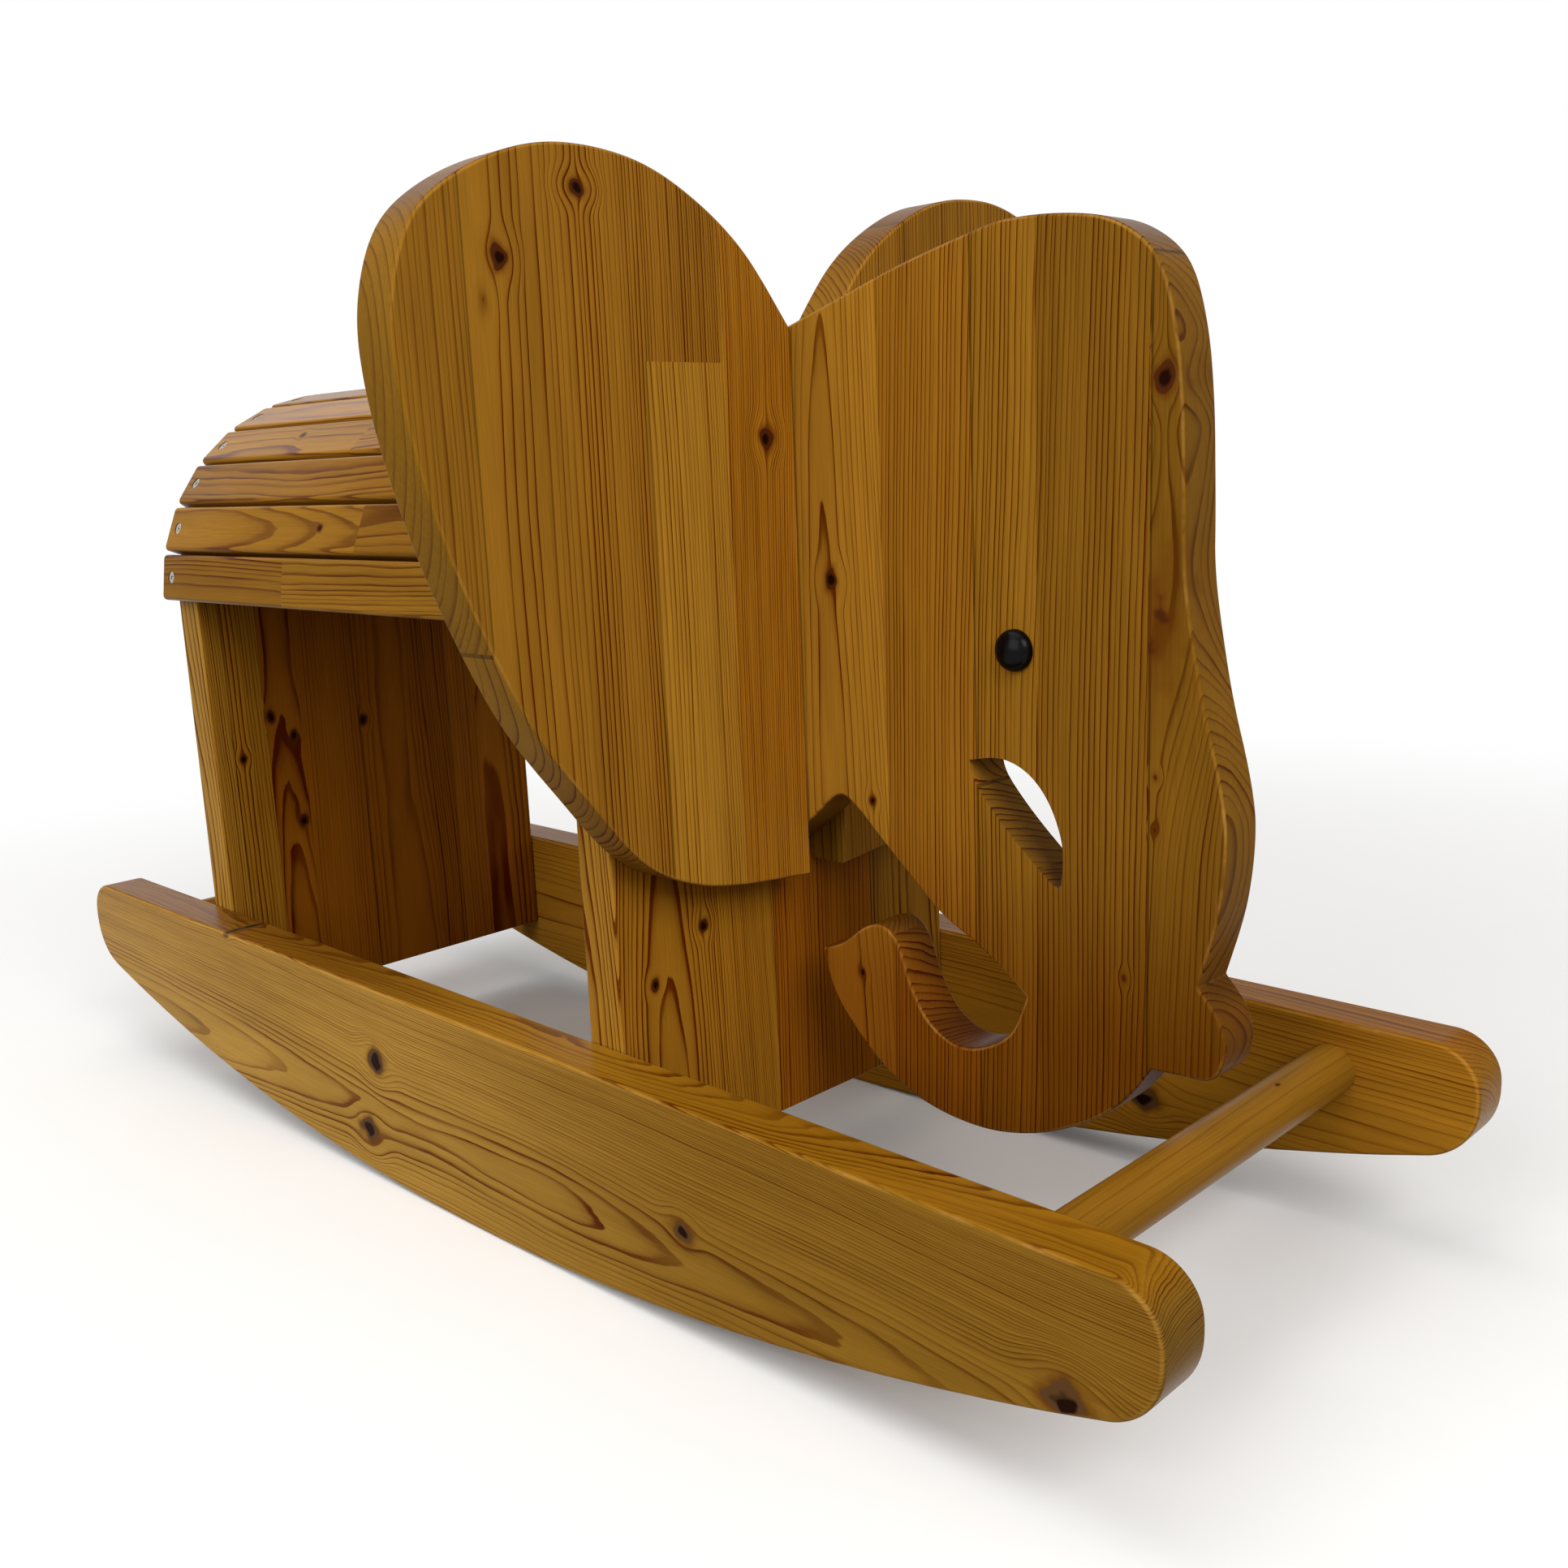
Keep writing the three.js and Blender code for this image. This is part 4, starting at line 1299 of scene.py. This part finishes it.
class ELEPHANT_OT_eyes(bpy.types.Operator):
    """Turn the two black eyes"""

    bl_idname = "elephant.eyes"
    bl_label = "Eyes"

    def execute(self, context):
        enamel = black_enamel()
        for side, sign in (("right", 1), ("left", -1)):
            node = f"{side}_eye"
            low, high = level_box(node)
            radius = (high.x - low.x) / 2
            rise, rim, stem, stem_radius = 7 * MM, 1 * MM, 8 * MM, 2 * MM
            eye = primitive("uv_sphere", segments=48, ring_count=24, radius=radius)
            edit(eye)
            bpy.ops.mesh.select_all(action="SELECT")
            bpy.ops.mesh.bisect(
                plane_co=(0, 0, 0), plane_no=(0, 0, 1), clear_inner=True, use_fill=True
            )
            bpy.ops.mesh.select_all(action="SELECT")
            resize(1, upright=(rise - rim) / radius)
            bpy.ops.mesh.select_mode(type="FACE")
            bpy.ops.mesh.select_all(action="DESELECT")
            pick(eye, "faces", lambda f: all(abs(v.co.z) < 0.001 * MM for v in f.verts))
            extrude(-rim)
            extrude(0)
            resize(stem_radius / radius, -rim)
            extrude(-stem)
            close_edit(eye)
            soften(eye)
            centre = (low + high) / 2
            face = (low.y + rise) if sign > 0 else (high.y - rise)
            place = (
                Matrix.Translation((centre.x, face, centre.z))
                @ spin(90 * sign, "X")
                @ Matrix.Translation((0, 0, rim))
            )
            finish_piece(eye, f"{side}_eye_dome", node, enamel, place)
        return {"FINISHED"}


class ELEPHANT_OT_ears(bpy.types.Operator):
    """Cut the two ears"""

    bl_idname = "elephant.ears"
    bl_label = "Ears"

    def execute(self, context):
        sizes = context.scene.elephant_sizes
        figures = {
            "right": (
                [(-196, -320, 40, 6, 0.55, BROWN, 0.4), (-105, -203, 22, 3.9, 1, AMBER, 0.27),
                 (-58.3, -166, 30, 3.7, 0.72, PALE, 0.6),
                 (-12, 150, 80, 5.6, 0.9, RUDDY, 0.88)],
                [(-136.9, 502.7, 5, 0.7, 1), (-179, 472.5, 4.2, 1.3, 1),
                 (-187.7, 454.2, 2.6, 2.6, 0.47), (-32.3, 399.5, 4.6, 1.1, 1)],
                -232, -12, (433.6, -81.6, 23.3, 50),
            ),
            "left": (
                [(70, -60, 50, 5, 0.8, AMBER, 0.15), (150, 300, 60, 9, 0.9, BROWN, 0.47),
                 (232, 196, 26, 3.2, 1, BROWN, 0.71)],
                [(120, 430, 3.4, 1.3, 1), (180, 300, 3.8, 1.2, 1)],
                12, 232, None,
            ),
        }
        for side, (staves, knots, left, right, finger) in figures.items():
            node = f"{side}_ear"
            ear, place = outline_board(node, False, sizes.board_round, sizes.round_steps)
            soften(ear)
            wood = pine(
                f"pine, edge-glued, {side} ear", place @ GRAIN_UP, left, right, staves, knots,
                # Darker side edges: painted shade.
                taper=0.005, waver=0.7, finger=finger, edge=(0.82, 0.87, 0.8),
            )
            finish_piece(ear, f"{side}_ear_board", node, wood, place)
        return {"FINISHED"}


class ELEPHANT_OT_dowels(bpy.types.Operator):
    """Finish the hidden dowels between the panels and the rockers"""

    bl_idname = "elephant.dowels"
    bl_label = "Dowels"

    def execute(self, context):
        beech = turned_beech()
        for side in ("right", "left"):
            for end in ("front", "rear"):
                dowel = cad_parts[f"{side}_{end}_dowel"]
                dowel.data.materials.clear()
                dowel.data.materials.append(beech)
        return {"FINISHED"}


# The stage.


def camera_turn(stage):
    """The camera's axes, with the toy set level."""
    azimuth, elevation, roll = stage.azimuth, stage.elevation, stage.roll
    flat = math.cos(elevation)
    back = Vector((math.sin(azimuth) * flat, -math.cos(azimuth) * flat, math.sin(elevation)))
    right = UP.cross(back).normalized()
    up = back.cross(right)
    tilted = right * math.cos(roll) + up * math.sin(roll)
    return Matrix((tilted, back.cross(tilted), back)).transposed().to_4x4()


def seen_directly(tree):
    """One for rays that end in the picture straight, off a gloss or through glass, else zero."""
    path = add(tree, "LightPath").outputs
    glossy = add(
        tree, "Math", {0: path["Is Camera Ray"], 1: path["Is Glossy Ray"]}, operation="ADD"
    )
    return add(
        tree, "Math", {0: glossy, 1: path["Is Transmission Ray"]}, operation="ADD", use_clamp=True
    )


def paper_floor(colour):
    """Matt backdrop paper: pale, with a faint speck, plain white further out."""
    paper, tree, here = new_material("matt backdrop paper")
    speck = add(tree, "TexNoise", {"Vector": here["Object"], "Scale": 40, "Detail": 2})
    pale = tuple(colour)
    tint = add(tree, "ValToRGB", {0: speck}, stops=[(0, [c * 0.985 for c in pale]), (1, pale)])
    matt = add(tree, "BsdfPrincipled", {"Base Color": tint, "Roughness": 0.9})
    # Well behind the toy the paper fades into a plain white backdrop that glows at strength one.
    reach = add(tree, "VectorMath", {0: here["Object"]}, operation="LENGTH")
    away = add(
        tree, "MapRange", {"Value": reach, "From Min": 0.6, "From Max": 1.5},
        interpolation_type="SMOOTHSTEP",
    )
    white = add(tree, "Emission", {0: (1, 1, 1, 1), 1: 1})
    swept = add(tree, "MixShader", {0: away, 1: matt, 2: white})
    bounce = add(tree, "BsdfDiffuse", {0: (0.2, 0.2, 0.2, 1)})
    both = add(tree, "MixShader", {0: seen_directly(tree), 1: bounce, 2: swept})
    add(tree, "OutputMaterial", {0: both})
    return paper


def add_lamp(name, place, aim, size, power):
    """A soft square lamp that looks at a place."""
    data = bpy.data.lights.new(name, "AREA")
    data.shape, data.size, data.energy = "SQUARE", size, power
    lamp = bpy.data.objects.new(name, data)
    bpy.context.scene.collection.objects.link(lamp)
    lamp.location = place
    lamp.rotation_euler = (Vector(aim) - Vector(place)).to_track_quat("-Z", "Y").to_euler()


class ELEPHANT_OT_stage(bpy.types.Operator):
    """Set up the floor, the lamps, the world and the camera"""

    bl_idname = "elephant.stage"
    bl_label = "Stage"

    def execute(self, context):
        scene, stage = context.scene, context.scene.elephant_stage
        floor = primitive("plane", size=60)
        floor.name = "floor"
        floor.data.materials.append(paper_floor(stage.floor_colour))
        camera = bpy.data.objects.new("camera", bpy.data.cameras.new("camera"))
        scene.collection.objects.link(camera)
        camera.data.sensor_width = 36
        camera.data.lens = stage.lens
        camera.data.clip_start, camera.data.clip_end = 0.02, 200
        camera.matrix_world = (
            STANCE @ Matrix.Translation(stage.camera_place) @ camera_turn(stage)
        )
        scene.camera = camera
        add_lamp("key", (2.6, -0.9, 2.0), (0.1, 0, 0.25), 1.6, 54)
        add_lamp("fill", (0.1, -3.1, 1.6), (-0.1, 0, 0.25), 2.4, 54)
        add_lamp("top", (-0.5, -0.8, 3.2), (0, 0, 0.2), 3, 42)
        world = bpy.data.worlds.new("studio")
        scene.world = world
        world.use_nodes = True
        tree = world.node_tree
        tree.nodes.clear()
        dim = add(tree, "Background", {0: (1, 1, 1, 1), 1: 0.45})
        white = add(tree, "Background", {0: (1, 1, 1, 1), 1: 1})
        both = add(tree, "MixShader", {0: seen_directly(tree), 1: dim, 2: white})
        add(tree, "OutputWorld", {0: both})
        scene.view_settings.view_transform = "Standard"
        return {"FINISHED"}


class ELEPHANT_PT_panel(bpy.types.Panel):
    bl_idname = "ELEPHANT_PT_panel"
    bl_label = "Rocking Elephant"
    bl_space_type = "VIEW_3D"
    bl_region_type = "UI"
    bl_category = "Elephant"

    def draw(self, context):
        for operator in PIECES:
            self.layout.operator(operator.bl_idname)
        for group in (
            context.scene.elephant_sizes, context.scene.elephant_finish,
            context.scene.elephant_stage,
        ):
            box = self.layout.box()
            for name in group.__annotations__:
                box.prop(group, name)


PIECES = (
    ELEPHANT_OT_rockers,
    ELEPHANT_OT_crossbars,
    ELEPHANT_OT_leg_panels,
    ELEPHANT_OT_saddle,
    ELEPHANT_OT_screws,
    ELEPHANT_OT_head,
    ELEPHANT_OT_eyes,
    ELEPHANT_OT_ears,
    ELEPHANT_OT_dowels,
    ELEPHANT_OT_stage,
)
GROUPS = (ElephantSizes, ElephantFinish, ElephantStage)


def register():
    for cls in (*GROUPS, *PIECES, ELEPHANT_PT_panel):
        bpy.utils.register_class(cls)
    bpy.types.Scene.elephant_sizes = PointerProperty(type=ElephantSizes)
    bpy.types.Scene.elephant_finish = PointerProperty(type=ElephantFinish)
    bpy.types.Scene.elephant_stage = PointerProperty(type=ElephantStage)


def unregister():
    for name in ("elephant_sizes", "elephant_finish", "elephant_stage"):
        delattr(bpy.types.Scene, name)
    for cls in reversed((*GROUPS, *PIECES, ELEPHANT_PT_panel)):
        bpy.utils.unregister_class(cls)


def main():
    register()
    for operator in PIECES:
        group, name = operator.bl_idname.split(".")
        getattr(getattr(bpy.ops, group), name)()


if __name__ == "__main__":
    main()
